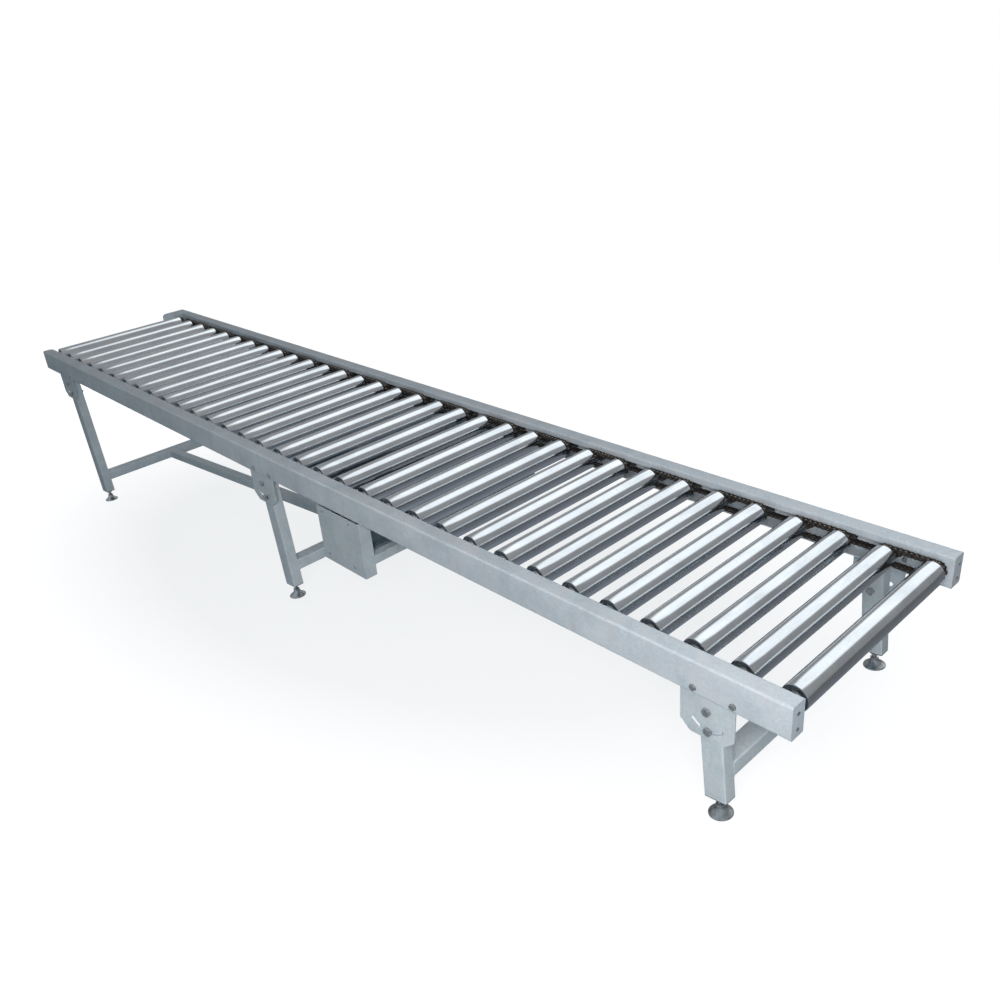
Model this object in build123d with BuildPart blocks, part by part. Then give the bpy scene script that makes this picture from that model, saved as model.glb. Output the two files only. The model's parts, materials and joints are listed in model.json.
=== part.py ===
from build123d import *
from math import sin, cos, tan, atan2, sqrt, radians, degrees, pi
import os

os.makedirs("parts", exist_ok=True)

# ---------------------------------------------------------------------------
# Powered roller conveyor, roll-to-roll chain drive.  Millimetres, +Z up.
# The origin is on the floor under the middle of the conveyor, +X runs along
# it towards its lower end, +Y runs across it towards the chain side.
#
# The bed is laid out in its own tilted frame:
#   u  along the rails, 0 at the first roller axis, towards the lower end
#   v  across, 0 at the outer face of the drive-side rail
#   w  square to the bed, 0 at the rail tops
# ---------------------------------------------------------------------------

# rollers
ROLLER_COUNT = 33
ROLLER_PITCH = 114.3            # nine half-inch chain pitches
ROLLER_D = 60.0
TUBE_WALL = 2.5
TUBE_V0 = 60.0                  # ends of the roller tube across the bed
TUBE_V1 = 636.0
AXIS_W = -29.5                  # roller tops stand 0.5 above the rail tops
AXLE_D = 12.0
HUB_R = 8.5                     # sprocket hub, passes under the rail lip
BEARING_FIT = 0.05              # radial running clearance on the fixed axle

# bed
BED_WIDTH = 720.0
BED_ANGLE = 5.0                 # slope of the bed
BED_HEIGHT = 369.3              # rail top above the floor at the first roller
END_RIGHT = 29.0                # rail beyond the first and the last roller axis
END_LEFT = 34.0
RAIL_H = 80.0
RAIL_FLANGE = 43.0
RAIL_LIP = 20.0
SHEET = 3.0
BEND_R = 6.0
BAR_T = 8.0                     # slotted axle bars inside the rails
BAR_TOP_W = -12.0
BAR_BOTTOM_W = -50.0
CAP_T = 2.5

# half-inch roller chain, ten-tooth sprockets on the rollers
CHAIN_P = 12.7
ROLLER_TEETH = 10
DRIVE_TEETH = 16
TOOTH_W = 7.2
ROW_A = 650.0                   # chain rows across the bed
ROW_B = 692.0
DRIVE_ROW = 24.0
DRIVEN_ROLLER = 14
PLATE_HALF = 5.9                # half height of a chain side plate

# leg frames
LEG_A = 54.0                    # leg box section along and across the bed
LEG_B = 36.0
LEG_WALL = 2.5
LEG_CORNER = 3.2
LEG_V = 7.3                     # outer face of a leg, behind its bracket
LEG_BOTTOM = 46.0
LEG_OFF = 3.0                   # leg centre beyond its pivot bolt, towards the lower end
LEG_TOP = 11.0                  # leg above its pivot bolt
LEG_X = (-164.5, -1864.4, -3489.2)   # right, middle, left pivot, from the first roller
BRACE_Z = 116.0
BRACE_H = 36.0
TIE_Y = -5.0
PIVOT_W = -111.0
LOCK_R = 48.0                   # arc slot radius about the pivot bolt
SLOT_HALF_DEG = 45.0
PIVOT_D = 10.0
LOCK_D = 10.0
PLATE_HALF_W = 65.5
PLATE_T = 4.0
WEB_BOLT_DU = (-33.0, 61.0)     # bracket bolts along the rail from the pivot
WEB_BOLT_W = -64.0

# levelling feet
FOOT_D = 54.0
STUD_D = 12.0

# drive unit under the drive-side rail
BOX_U0, BOX_U1 = -1541.0, -1333.0
BOX_W0, BOX_W1 = -264.0, -83.0
BOX_V1 = 40.0
BOX_T = 2.0
TRAY_W = -202.0
TRAY_T = 3.0
TRAY_FLANGE = 28.0
DRIVE_LINKS = 11                # whole links in each straight run of drive chain

# ---------------------------------------------------------------------------
TH = radians(BED_ANGLE)
U_LEFT = -(ROLLER_COUNT - 1) * ROLLER_PITCH - END_LEFT
U_RIGHT = END_RIGHT
HEAD_T = 2.2                    # heads of the small panel screws
X_RIGHT = (U_RIGHT + CAP_T + HEAD_T) * cos(TH) - 18.4 * sin(TH)
X_LEFT = (U_LEFT - SHEET - HEAD_T) * cos(TH) - 64.6 * sin(TH)
X0 = -(X_RIGHT + X_LEFT) / 2    # brings the middle of the conveyor over the origin
U_DIR = (cos(TH), 0, -sin(TH))
W_DIR = (sin(TH), 0, cos(TH))


def bed_point(u, v, w):
    return (u * cos(TH) + w * sin(TH) + X0, v - BED_WIDTH / 2, BED_HEIGHT - u * sin(TH) + w * cos(TH))


def side_plane(v):
    """sketch plane along the bed: local x is u, local y is w, extrusion runs towards -v"""
    return Plane(origin=bed_point(0, v, 0), x_dir=U_DIR, z_dir=(0, -1, 0))


def section_plane(u):
    """sketch plane across the bed: local x is v, local y is w, extrusion runs towards +u"""
    return Plane(origin=bed_point(u, 0, 0), x_dir=(0, 1, 0), z_dir=U_DIR)


def flat_plane(w):
    """sketch plane parallel to the bed: local x is u, local y is v, extrusion runs towards +w"""
    return Plane(origin=bed_point(0, 0, w), x_dir=U_DIR, z_dir=W_DIR)


def upright_plane(y):
    """vertical sketch plane: local x is X, local y is Z, extrusion runs towards -Y"""
    return Plane(origin=(0, y, 0), x_dir=(1, 0, 0), z_dir=(0, -1, 0))


def far(v):
    """the same place on the chain-side rail"""
    return BED_WIDTH - v


def near_y(v):
    return v - BED_WIDTH / 2


def pick(sketch, points, tol=0.05):
    """corners of a sketch in its own plane"""
    return [q for q in sketch.vertices() if any(abs(q.X - a) < tol and abs(q.Y - b) < tol for a, b in points)]


def chain_radius(teeth):
    return CHAIN_P / 2 / sin(pi / teeth)


def tip_radius(teeth):
    return CHAIN_P / 2 * (0.6 + 1 / tan(pi / teeth))


def finish(part, name):
    part.label = name
    export_step(part, "parts/" + name + ".step")


STRAND = chain_radius(ROLLER_TEETH) * cos(pi / ROLLER_TEETH)    # straight run from the axis
R_SMALL = chain_radius(ROLLER_TEETH)
R_BIG = chain_radius(DRIVE_TEETH)

# drive sprocket centre: a whole number of links fits each straight run
span = sqrt((DRIVE_LINKS * CHAIN_P) ** 2 - (R_BIG - R_SMALL * sin(radians(72))) ** 2) - R_SMALL * cos(radians(72))
DRIVEN_U = -(DRIVEN_ROLLER - 1) * ROLLER_PITCH
DRIVE_DW = -122.0
DRIVE_DU = sqrt(span ** 2 - DRIVE_DW ** 2)
DRIVE_U = DRIVEN_U + DRIVE_DU
DRIVE_W = AXIS_W + DRIVE_DW
LINE_DEG = degrees(atan2(-DRIVE_DW, -DRIVE_DU))                 # from drive to driven sprocket


def pivot_u(leg_x):
    return (leg_x - PIVOT_W * sin(TH)) / cos(TH)


def pivot_z(leg_x):
    return BED_HEIGHT - pivot_u(leg_x) * sin(TH) + PIVOT_W * cos(TH)


# ---------------------------------------------------------------------------
# side rails: lipped folded channels, open sides facing each other, each with
# a slotted bar welded inside that holds the roller axles
# ---------------------------------------------------------------------------
def rail_outline(mirror_v):
    f = far if mirror_v else (lambda v: v)
    pts = [(0, 0), (RAIL_FLANGE, 0), (RAIL_FLANGE, -RAIL_LIP), (RAIL_FLANGE - SHEET, -RAIL_LIP),
           (RAIL_FLANGE - SHEET, -SHEET), (SHEET, -SHEET), (SHEET, SHEET - RAIL_H),
           (RAIL_FLANGE, SHEET - RAIL_H), (RAIL_FLANGE, -RAIL_H), (0, -RAIL_H)]
    return [(f(a), b) for a, b in pts]


SLOT_US = [-k * ROLLER_PITCH for k in range(ROLLER_COUNT)]
SCREW_VW = [(20.0, -23.0), (20.0, -60.0)]       # end cap screws in a rail's section

rails = {}
for rail_name, mirrored in (("side_rail_near", False), ("side_rail_far", True)):
    g = far if mirrored else (lambda v: v)
    with BuildPart() as rail:
        with BuildSketch(section_plane(U_LEFT)) as channel:
            with BuildLine():
                Polyline(*rail_outline(mirrored), close=True)
            make_face()
            fillet(pick(channel, [(g(0), 0), (g(0), -RAIL_H)]), BEND_R)
            fillet(pick(channel, [(g(RAIL_FLANGE), 0)]), BEND_R - 1)
            fillet(pick(channel, [(g(SHEET), -SHEET), (g(SHEET), SHEET - RAIL_H)]), BEND_R - SHEET)
            fillet(pick(channel, [(g(RAIL_FLANGE - SHEET), -SHEET)]), BEND_R - 1 - SHEET)
        extrude(amount=U_RIGHT - U_LEFT)
        # the upper flange is cut round at the higher end
        with BuildSketch(flat_plane(-RAIL_LIP - 1)) as round_corner:
            with BuildLine():
                r = 22.0
                a = (U_LEFT, g(RAIL_FLANGE - r))
                b = (U_LEFT + r, g(RAIL_FLANGE))
                c = (U_LEFT + r * (1 - cos(pi / 4)), g(RAIL_FLANGE - r + r * sin(pi / 4)))
                ThreePointArc(a, c, b)
                Polyline(b, (U_LEFT + r, g(RAIL_FLANGE + 2)), (U_LEFT - 2, g(RAIL_FLANGE + 2)), (U_LEFT - 2, g(RAIL_FLANGE - r)), a)
            make_face()
        extrude(amount=RAIL_LIP + 3, mode=Mode.SUBTRACT)
        # notches in the lower flange for the leg brackets
        for x in LEG_X:
            with BuildSketch(flat_plane(-RAIL_H - 1)) as notch:
                with Locations((pivot_u(x), g(SHEET + (PLATE_T + 0.3) / 2))):
                    Rectangle(2 * PLATE_HALF_W + 1.5, PLATE_T + 0.3)
            extrude(amount=1 + BEND_R + 0.5, mode=Mode.SUBTRACT)
            # bracket bolt holes in the web
            with BuildSketch(side_plane(g(0) + 5)) as web_holes:
                with Locations(*[(pivot_u(x) + d, WEB_BOLT_W) for d in WEB_BOLT_DU]):
                    Circle(4.2)
            extrude(amount=10, mode=Mode.SUBTRACT)
        if not mirrored:
            # the drive chain rises through the lower flange
            with BuildSketch(flat_plane(-RAIL_H - 1)) as chain_gap:
                with Locations((DRIVEN_U + 14, RAIL_FLANGE / 2 + 6.5)):
                    Rectangle(96, RAIL_FLANGE - 11)
            extrude(amount=SHEET + 2, mode=Mode.SUBTRACT)
    with BuildPart() as bar:
        with BuildSketch(side_plane(g(SHEET) if mirrored else SHEET + BAR_T)) as bar_face:
            with Locations(((U_LEFT + U_RIGHT) / 2, (BAR_TOP_W + BAR_BOTTOM_W) / 2)):
                Rectangle(U_RIGHT - U_LEFT - 6, BAR_TOP_W - BAR_BOTTOM_W)
            with Locations(*[(s, AXIS_W) for s in SLOT_US]):
                Circle(AXLE_D / 2 + 0.05, mode=Mode.SUBTRACT)
            with Locations(*[(s, (AXIS_W + BAR_TOP_W + 2) / 2) for s in SLOT_US]):
                Rectangle(AXLE_D + 0.1, BAR_TOP_W + 2 - AXIS_W, mode=Mode.SUBTRACT)
        extrude(amount=BAR_T)
    both = Compound(children=[rail.part.solids()[0], bar.part.solids()[0]])
    rails[rail_name] = (len(rail.part.solids()), len(bar.part.solids()))
    finish(both, rail_name)
print("rail and bar solids", rails)

# ---------------------------------------------------------------------------
# end caps: three plates screwed over the open rail ends
# ---------------------------------------------------------------------------
with BuildPart() as rail_end_caps:
    for u_cap, mirrored, rounded in ((U_RIGHT, False, False), (U_RIGHT, True, False), (U_LEFT - CAP_T, False, True)):
        g = far if mirrored else (lambda v: v)
        with BuildSketch(section_plane(u_cap)) as cap_face:
            with BuildLine():
                Polyline((g(0), 0), (g(RAIL_FLANGE), 0), (g(RAIL_FLANGE), -RAIL_H), (g(0), -RAIL_H), close=True)
            make_face()
            fillet(pick(cap_face, [(g(0), 0), (g(0), -RAIL_H)]), BEND_R)
            fillet(pick(cap_face, [(g(RAIL_FLANGE), 0)]), 18.0 if rounded else BEND_R - 1)
            with Locations(*[(g(a), b) for a, b in SCREW_VW]):
                Circle(2.6, mode=Mode.SUBTRACT)
        extrude(amount=CAP_T)
        if not rounded:
            # return along the open side of the channel
            with BuildSketch(section_plane(U_RIGHT - 20)) as cap_return:
                with Locations((g(RAIL_FLANGE - 1.55), (-RAIL_LIP - 0.4 + SHEET + 0.4 - RAIL_H) / 2)):
                    Rectangle(2.5, RAIL_H - SHEET - RAIL_LIP - 0.8)
            extrude(amount=20.1)
finish(rail_end_caps.part, "rail_end_caps")

# guard plate over the end of the chain run at the higher end
GUARD_W = 145.0
GUARD_TOP = 20.0
with BuildPart() as chain_end_guard:
    with BuildSketch(section_plane(U_LEFT - SHEET)) as guard_face:
        with BuildLine():
            Polyline((far(0), -RAIL_H), (far(0), -2), (far(RAIL_FLANGE - 4), GUARD_TOP), (far(GUARD_W), GUARD_TOP), (far(GUARD_W), -RAIL_H), close=True)
        make_face()
        fillet(pick(guard_face, [(far(GUARD_W), GUARD_TOP)]), 16.0)
        fillet(pick(guard_face, [(far(0), -RAIL_H), (far(GUARD_W), -RAIL_H), (far(0), -2)]), 6.0)
        fillet(pick(guard_face, [(far(RAIL_FLANGE - 4), GUARD_TOP)]), 12.0)
        with Locations(*[(far(a), b) for a, b in SCREW_VW]):
            Circle(2.6, mode=Mode.SUBTRACT)
    extrude(amount=SHEET)
finish(chain_end_guard.part, "chain_end_guard")

# ---------------------------------------------------------------------------
# roller axles: fixed round bars resting in the slotted bars
# ---------------------------------------------------------------------------
with BuildPart() as roller_axles:
    with BuildSketch(side_plane(far(SHEET + 0.5))) as axle_ends:
        with Locations(*[(s, AXIS_W) for s in SLOT_US]):
            Circle(AXLE_D / 2)
    extrude(amount=far(SHEET + 0.5) - SHEET - 0.5)
    chamfer(roller_axles.edges().filter_by(GeomType.CIRCLE), 0.8)
finish(roller_axles.part, "roller_axles")


# ---------------------------------------------------------------------------
# rollers: a steel tube on two bearing cups, the cup on the chain side carries
# two sprockets.  Modelled once about the Y axis, then set on each axle.
# ---------------------------------------------------------------------------
def sprocket_sketch(teeth, gap_deg):
    """one toothed disc: seats for the chain rollers, flanks opening outwards"""
    rp, rt = chain_radius(teeth), tip_radius(teeth)
    Circle(rt)
    with PolarLocations(rp, teeth, start_angle=gap_deg):
        Circle(4.4, mode=Mode.SUBTRACT)
        Polygon((0, -4.3), (rt - rp + 1, -6.35 * rt / rp + 0.5), (rt - rp + 1, 6.35 * rt / rp - 0.5), (0, 4.3), align=None, mode=Mode.SUBTRACT)


with BuildPart() as tube:
    with BuildSketch(Plane.XZ.offset(-TUBE_V1)):
        Circle(ROLLER_D / 2)
        Circle(ROLLER_D / 2 - TUBE_WALL, mode=Mode.SUBTRACT)
    extrude(amount=TUBE_V1 - TUBE_V0)
    chamfer(tube.edges().filter_by(GeomType.CIRCLE).sort_by(Axis.Y)[0:2], 0.6)

with BuildPart() as near_cup:
    with BuildSketch(Plane.YZ) as cup_profile:
        with BuildLine():
            ri = ROLLER_D / 2 - TUBE_WALL
            ra = AXLE_D / 2 + BEARING_FIT
            Polyline((TUBE_V0 + 3, ra), (TUBE_V0 - 1.5, ra), (TUBE_V0 - 1.5, 11), (TUBE_V0 + 2, 12.5), (TUBE_V0 + 2, ri - 3),
                     (TUBE_V0, ri - 2), (TUBE_V0, ri), (TUBE_V0 + 22, ri), (TUBE_V0 + 22, ra), close=True)
        make_face()
    revolve(axis=Axis.Y)

with BuildPart() as far_cup:
    with BuildSketch(Plane.YZ) as far_cup_profile:
        with BuildLine():
            Polyline((TUBE_V1 - 22, ra), (TUBE_V1 + 1, ra), (TUBE_V1 + 1, 16), (TUBE_V1, 18), (TUBE_V1, ri), (TUBE_V1 - 22, ri), close=True)
        make_face()
    revolve(axis=Axis.Y)

with BuildPart() as double_sprocket:
    with BuildSketch(Plane.XZ.offset(-(TUBE_V1 + 1))):
        Circle(14.5)
        Circle(ra, mode=Mode.SUBTRACT)
    extrude(amount=-(ROW_A + TOOTH_W / 2 + 3 - TUBE_V1 - 1))
    with BuildSketch(Plane.XZ.offset(-(ROW_A + TOOTH_W / 2 + 3))):
        Circle(HUB_R)
        Circle(ra, mode=Mode.SUBTRACT)
    extrude(amount=-(ROW_B + TOOTH_W / 2 + 6 - (ROW_A + TOOTH_W / 2 + 3)))
    for row in (ROW_A, ROW_B):
        with BuildSketch(Plane.XZ.offset(-(row + TOOTH_W / 2))):
            sprocket_sketch(ROLLER_TEETH, 0)
            Circle(ra, mode=Mode.SUBTRACT)
        extrude(amount=TOOTH_W)

with BuildPart() as driven_sprocket:
    with BuildSketch(Plane.XZ.offset(-(DRIVE_ROW + TOOTH_W / 2))):
        sprocket_sketch(ROLLER_TEETH, LINE_DEG)
        Circle(ra, mode=Mode.SUBTRACT)
    extrude(amount=TOOTH_W)
    with BuildSketch(Plane.XZ.offset(-(TUBE_V0 - 1.5))):
        Circle(HUB_R)
        Circle(ra, mode=Mode.SUBTRACT)
    extrude(amount=TUBE_V0 - 1.5 - 14.0)

for k in range(ROLLER_COUNT):
    spot = Plane(origin=bed_point(-k * ROLLER_PITCH, 0, AXIS_W), x_dir=U_DIR, z_dir=W_DIR)
    pieces = [tube.part, near_cup.part, far_cup.part, double_sprocket.part]
    if k == DRIVEN_ROLLER - 1:
        pieces.append(driven_sprocket.part)
    roller = Compound(children=[q.solids()[0].moved(spot.location) for q in pieces])
    finish(roller, "roller_%02d" % (k + 1))

# ---------------------------------------------------------------------------
# roll-to-roll chains: one loop joins each roller to the next, in two rows
# turn about.  Side plates straddle the teeth, pins cross the straight runs.
# ---------------------------------------------------------------------------
with BuildPart() as loop:
    for side in (-6.5, 3.9):
        with BuildSketch(Plane.XZ.offset(-(side + 2.6))):
            with Locations((-ROLLER_PITCH / 2, 0)):
                SlotCenterToCenter(ROLLER_PITCH, 2 * (STRAND + PLATE_HALF))
                SlotCenterToCenter(ROLLER_PITCH, 2 * (STRAND - PLATE_HALF + 1), mode=Mode.SUBTRACT)
        extrude(amount=2.6)
    with BuildSketch(Plane.XZ.offset(-8)):
        with Locations(*[(-ROLLER_PITCH / 2 + CHAIN_P * (i - 2), s * STRAND) for i in range(5) for s in (-1, 1)]):
            Circle(2.2)
    extrude(amount=16)
    with BuildSketch(Plane.XZ.offset(-4)):
        with Locations(*[(-ROLLER_PITCH / 2 + CHAIN_P * (i - 2), s * STRAND) for i in range(5) for s in (-1, 1)]):
            Circle(4.2)
    extrude(amount=8)
print("chain loop solids", len(loop.part.solids()))
loops = []
for k in range(ROLLER_COUNT - 1):
    row = ROW_A if k % 2 == 0 else ROW_B
    spot = Plane(origin=bed_point(-k * ROLLER_PITCH, row, AXIS_W), x_dir=U_DIR, z_dir=W_DIR)
    loops.append(loop.part.solids()[0].moved(spot.location))
finish(Compound(children=loops), "roller_chains")

# ---------------------------------------------------------------------------
# drive unit: sprocket on the gearmotor shaft, chain up to one roller
# ---------------------------------------------------------------------------
with BuildPart() as drive_chain:
    for side in (-6.5, 3.9):
        with BuildSketch(side_plane(DRIVE_ROW + side + 2.6)) as outer_path:
            with Locations((DRIVEN_U, AXIS_W)):
                Circle(R_SMALL + PLATE_HALF - 0.6)
            with Locations((DRIVE_U, DRIVE_W)):
                Circle(R_BIG + PLATE_HALF - 0.4)
            make_hull()
        extrude(amount=2.6)
    for side in (-6.5, 3.9):
        with BuildSketch(side_plane(DRIVE_ROW + side + 2.7)) as inner_path:
            with Locations((DRIVEN_U, AXIS_W)):
                Circle(R_SMALL - PLATE_HALF)
            with Locations((DRIVE_U, DRIVE_W)):
                Circle(R_BIG - PLATE_HALF)
            make_hull()
        extrude(amount=2.8, mode=Mode.SUBTRACT)
    # pins in the straight runs, clear of both sprockets
    ax = ((DRIVEN_U - DRIVE_U) / span, (AXIS_W - DRIVE_W) / span)
    pins = []
    for s in (-1, 1):
        p0 = (0.0, s * R_BIG)
        p1 = (span + R_SMALL * cos(radians(72)), s * R_SMALL * sin(radians(72)))
        for i in range(3, DRIVE_LINKS - 2):
            t = i / DRIVE_LINKS
            a, b = p0[0] + (p1[0] - p0[0]) * t, p0[1] + (p1[1] - p0[1]) * t
            pins.append((DRIVE_U + a * ax[0] - b * ax[1], DRIVE_W + a * ax[1] + b * ax[0]))
    with BuildSketch(side_plane(DRIVE_ROW + 8)) as pin_ends:
        with Locations(*pins):
            Circle(2.2)
    extrude(amount=16)
finish(drive_chain.part, "drive_chain")

with BuildPart() as sprocket_wheel:
    with BuildSketch(side_plane(DRIVE_ROW + TOOTH_W / 2)) as wheel_face:
        with Locations(Location((DRIVE_U, DRIVE_W, 0))):
            Circle(tip_radius(DRIVE_TEETH))
        gap_places = [(DRIVE_U + R_BIG * cos(radians(LINE_DEG + 180 + 22.5 * i)), DRIVE_W + R_BIG * sin(radians(LINE_DEG + 180 + 22.5 * i))) for i in range(16)]
        with Locations(*gap_places):
            Circle(4.4, mode=Mode.SUBTRACT)
        for i, q in enumerate(gap_places):
            e = radians(LINE_DEG + 180 + 22.5 * i)
            rt, rp = tip_radius(DRIVE_TEETH), R_BIG
            cs = [(0, -4.3), (rt - rp + 1, -6.35 * rt / rp + 0.5), (rt - rp + 1, 6.35 * rt / rp - 0.5), (0, 4.3)]
            with BuildLine():
                Polyline(*[(q[0] + a * cos(e) - b * sin(e), q[1] + a * sin(e) + b * cos(e)) for a, b in cs], close=True)
            make_face(mode=Mode.SUBTRACT)
    extrude(amount=TOOTH_W)
    with BuildSketch(side_plane(DRIVE_ROW + 16)) as wheel_hub:
        with Locations((DRIVE_U, DRIVE_W)):
            Circle(20)
    extrude(amount=16)
with BuildPart() as output_shaft:
    with BuildSketch(side_plane(150)) as shaft_end:
        with Locations((DRIVE_U, DRIVE_W)):
            Circle(12.5)
    extrude(amount=150 - 12)
    chamfer(output_shaft.edges().filter_by(GeomType.CIRCLE).sort_by(Axis.Y)[0], 1.5)
    # gear wheel keyed on the shaft inside the gearbox
    with BuildSketch(side_plane(125)) as gear_face:
        with Locations((DRIVE_U, DRIVE_W)):
            Circle(40)
    extrude(amount=35)
with BuildPart() as wheel_bored:
    add(sprocket_wheel.part)
    with BuildSketch(side_plane(DRIVE_ROW + 30)) as bore_face:
        with Locations((DRIVE_U, DRIVE_W)):
            Circle(12.5)
    extrude(amount=60, mode=Mode.SUBTRACT)
finish(Compound(children=[wheel_bored.part.solids()[0], output_shaft.part.solids()[0]]), "drive_sprocket")

# chain guard: a sheet box hung under the rail, open to the front
UM = (BOX_U0 + BOX_U1) / 2
WM = (BOX_W0 + BOX_W1) / 2
COVER_SCREWS = [(BOX_U0 + 28, BOX_W0 + 24), (BOX_U1 - 48, BOX_W0 + 24), (BOX_U0 + 28, BOX_W1 - 14), (BOX_U1 - 48, BOX_W1 - 14)]
with BuildPart() as chain_guard_box:
    with BuildSketch(side_plane(BOX_V1)) as box_back:
        with Locations((UM, WM)):
            Rectangle(BOX_U1 - BOX_U0, BOX_W1 - BOX_W0)
    extrude(amount=BOX_V1 - BOX_T)
    with BuildSketch(side_plane(BOX_V1 - BOX_T)) as box_inside:
        with Locations((UM, WM + BOX_T)):
            Rectangle(BOX_U1 - BOX_U0 - 2 * BOX_T, BOX_W1 - BOX_W0)
    extrude(amount=BOX_V1, mode=Mode.SUBTRACT)
    with BuildSketch(side_plane(BOX_V1 + 1)) as shaft_hole:
        with Locations((DRIVE_U, DRIVE_W)):
            Circle(24)
    extrude(amount=6, mode=Mode.SUBTRACT)
    # flanges that take the cover screws: two off the floor, two off the sides
    TABS = [(BOX_U0 + 17, BOX_U0 + 39, BOX_W0 + 1, BOX_W0 + 36), (BOX_U1 - 59, BOX_U1 - 37, BOX_W0 + 1, BOX_W0 + 36),
            (BOX_U0 + 1, BOX_U0 + 39, BOX_W1 - 26, BOX_W1 - 4), (BOX_U1 - 59, BOX_U1 - 1, BOX_W1 - 26, BOX_W1 - 4)]
    for (ua, ub, wa, wb), (u, w) in zip(TABS, COVER_SCREWS):
        with BuildSketch(side_plane(BOX_T + 2)) as tab:
            with Locations(((ua + ub) / 2, (wa + wb) / 2)):
                Rectangle(ub - ua, wb - wa)
            with Locations((u, w)):
                Circle(2.6, mode=Mode.SUBTRACT)
        extrude(amount=2)
    # hanging flange along the top of the back
    with BuildSketch(side_plane(BOX_V1)) as hang_face:
        with Locations((UM, (BOX_W1 - RAIL_H) / 2)):
            Rectangle(BOX_U1 - BOX_U0, RAIL_H + BOX_W1)
    extrude(amount=BOX_T)
print("guard box solids", len(chain_guard_box.part.solids()))
finish(Compound(children=chain_guard_box.part.solids()), "chain_guard_box")

with BuildPart() as chain_guard_cover:
    with BuildSketch(side_plane(BOX_T)) as cover_face:
        with Locations((UM, WM)):
            RectangleRounded(BOX_U1 - BOX_U0, BOX_W1 - BOX_W0, 2)
        with Locations(*COVER_SCREWS):
            Circle(2.6, mode=Mode.SUBTRACT)
    extrude(amount=BOX_T)
    # folded lip along the top edge
    with BuildSketch(side_plane(BOX_T)) as lip_face:
        with Locations((UM, BOX_W1 - 1.5)):
            Rectangle(BOX_U1 - BOX_U0 - 8, 3)
    extrude(amount=BOX_T + 1.2)
finish(chain_guard_cover.part, "chain_guard_cover")

# motor tray: a folded channel across the bed, hung from the far rail
TRAY_V1 = far(14.0)
with BuildPart() as motor_tray:
    with BuildSketch(section_plane(BOX_U0)) as tray_side:
        with BuildLine():
            Polyline((TRAY_V1 - SHEET, TRAY_W - TRAY_T), (TRAY_V1, TRAY_W - TRAY_T), (TRAY_V1, -RAIL_H - 0.1), (TRAY_V1 - 22, -RAIL_H - 0.1),
                     (TRAY_V1 - 22, -RAIL_H - SHEET), (TRAY_V1 - SHEET, -RAIL_H - SHEET), close=True)
        make_face()
    extrude(amount=BOX_U1 - BOX_U0)
    with BuildSketch(flat_plane(TRAY_W - TRAY_T)) as tray_top:
        with Locations((UM, (BOX_V1 + 0.2 + TRAY_V1) / 2)):
            Rectangle(BOX_U1 - BOX_U0, TRAY_V1 - BOX_V1 - 0.2)
    extrude(amount=TRAY_T)
    for u_edge in (BOX_U0, BOX_U1 - TRAY_T):
        with BuildSketch(section_plane(u_edge)) as tray_flange:
            with Locations(((BOX_V1 + 0.2 + TRAY_V1) / 2, TRAY_W - TRAY_FLANGE / 2)):
                Rectangle(TRAY_V1 - BOX_V1 - 0.2, TRAY_FLANGE)
        extrude(amount=TRAY_T)
print("tray solids", len(motor_tray.part.solids()))
finish(motor_tray.part, "motor_tray")

# gearmotor: foot-mounted helical gearbox with an in-line motor, a fan cover
# and a terminal box whose cable gland is left without a cable
GB_V0, GB_V1 = 46.0, 172.0
MOTOR_V1, FAN_V1 = 352.0, 404.0
MOTOR_R = 48.0
with BuildPart() as gearbox:
    with BuildSketch(side_plane(GB_V1)) as gearbox_face:
        with Locations((DRIVE_U, DRIVE_W)):
            RectangleRounded(100, 98, 14)
    extrude(amount=GB_V1 - GB_V0 - 8)
    with BuildSketch(side_plane(GB_V0 + 8)) as nose_face:
        with Locations((DRIVE_U, DRIVE_W)):
            Circle(34)
    extrude(amount=8)
    with BuildSketch(flat_plane(TRAY_W)) as gearbox_feet:
        with Locations((DRIVE_U, (GB_V0 + GB_V1) / 2 + 6)):
            RectangleRounded(146, 100, 8)
            with GridLocations(122, 74, 2, 2):
                Circle(4.5, mode=Mode.SUBTRACT)
    extrude(amount=10)
    # hollow inside, with the shaft bore
    with BuildSketch(side_plane(GB_V1 - 8)) as hollow_face:
        with Locations((DRIVE_U, DRIVE_W)):
            Circle(43.5)
    extrude(amount=GB_V1 - GB_V0 - 26, mode=Mode.SUBTRACT)
    with BuildSketch(side_plane(GB_V1 - 12)) as bore_path:
        with Locations((DRIVE_U, DRIVE_W)):
            Circle(12.55)
    extrude(amount=GB_V1, mode=Mode.SUBTRACT)
with BuildPart() as motor_body:
    with BuildSketch(side_plane(MOTOR_V1)) as motor_face:
        with Locations((DRIVE_U, DRIVE_W)):
            Circle(MOTOR_R - 4)
            with PolarLocations(MOTOR_R - 5, 20):
                Rectangle(10, 2.6)
    extrude(amount=MOTOR_V1 - GB_V1 - 10)
    with BuildSketch(side_plane(GB_V1 + 10)) as adapter_face:
        with Locations((DRIVE_U, DRIVE_W)):
            Circle(MOTOR_R)
    extrude(amount=10)
with BuildPart() as fan_cover:
    with BuildSketch(side_plane(FAN_V1)) as fan_face:
        with Locations((DRIVE_U, DRIVE_W)):
            Circle(MOTOR_R)
    extrude(amount=FAN_V1 - MOTOR_V1)
    fillet(fan_cover.edges().filter_by(GeomType.CIRCLE).sort_by(Axis.Y)[-1], 8)
    with BuildSketch(side_plane(FAN_V1 + 1)) as fan_slots:
        with Locations((DRIVE_U, DRIVE_W)):
            with PolarLocations(23, 12):
                SlotOverall(22, 4)
    extrude(amount=5, mode=Mode.SUBTRACT)
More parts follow.
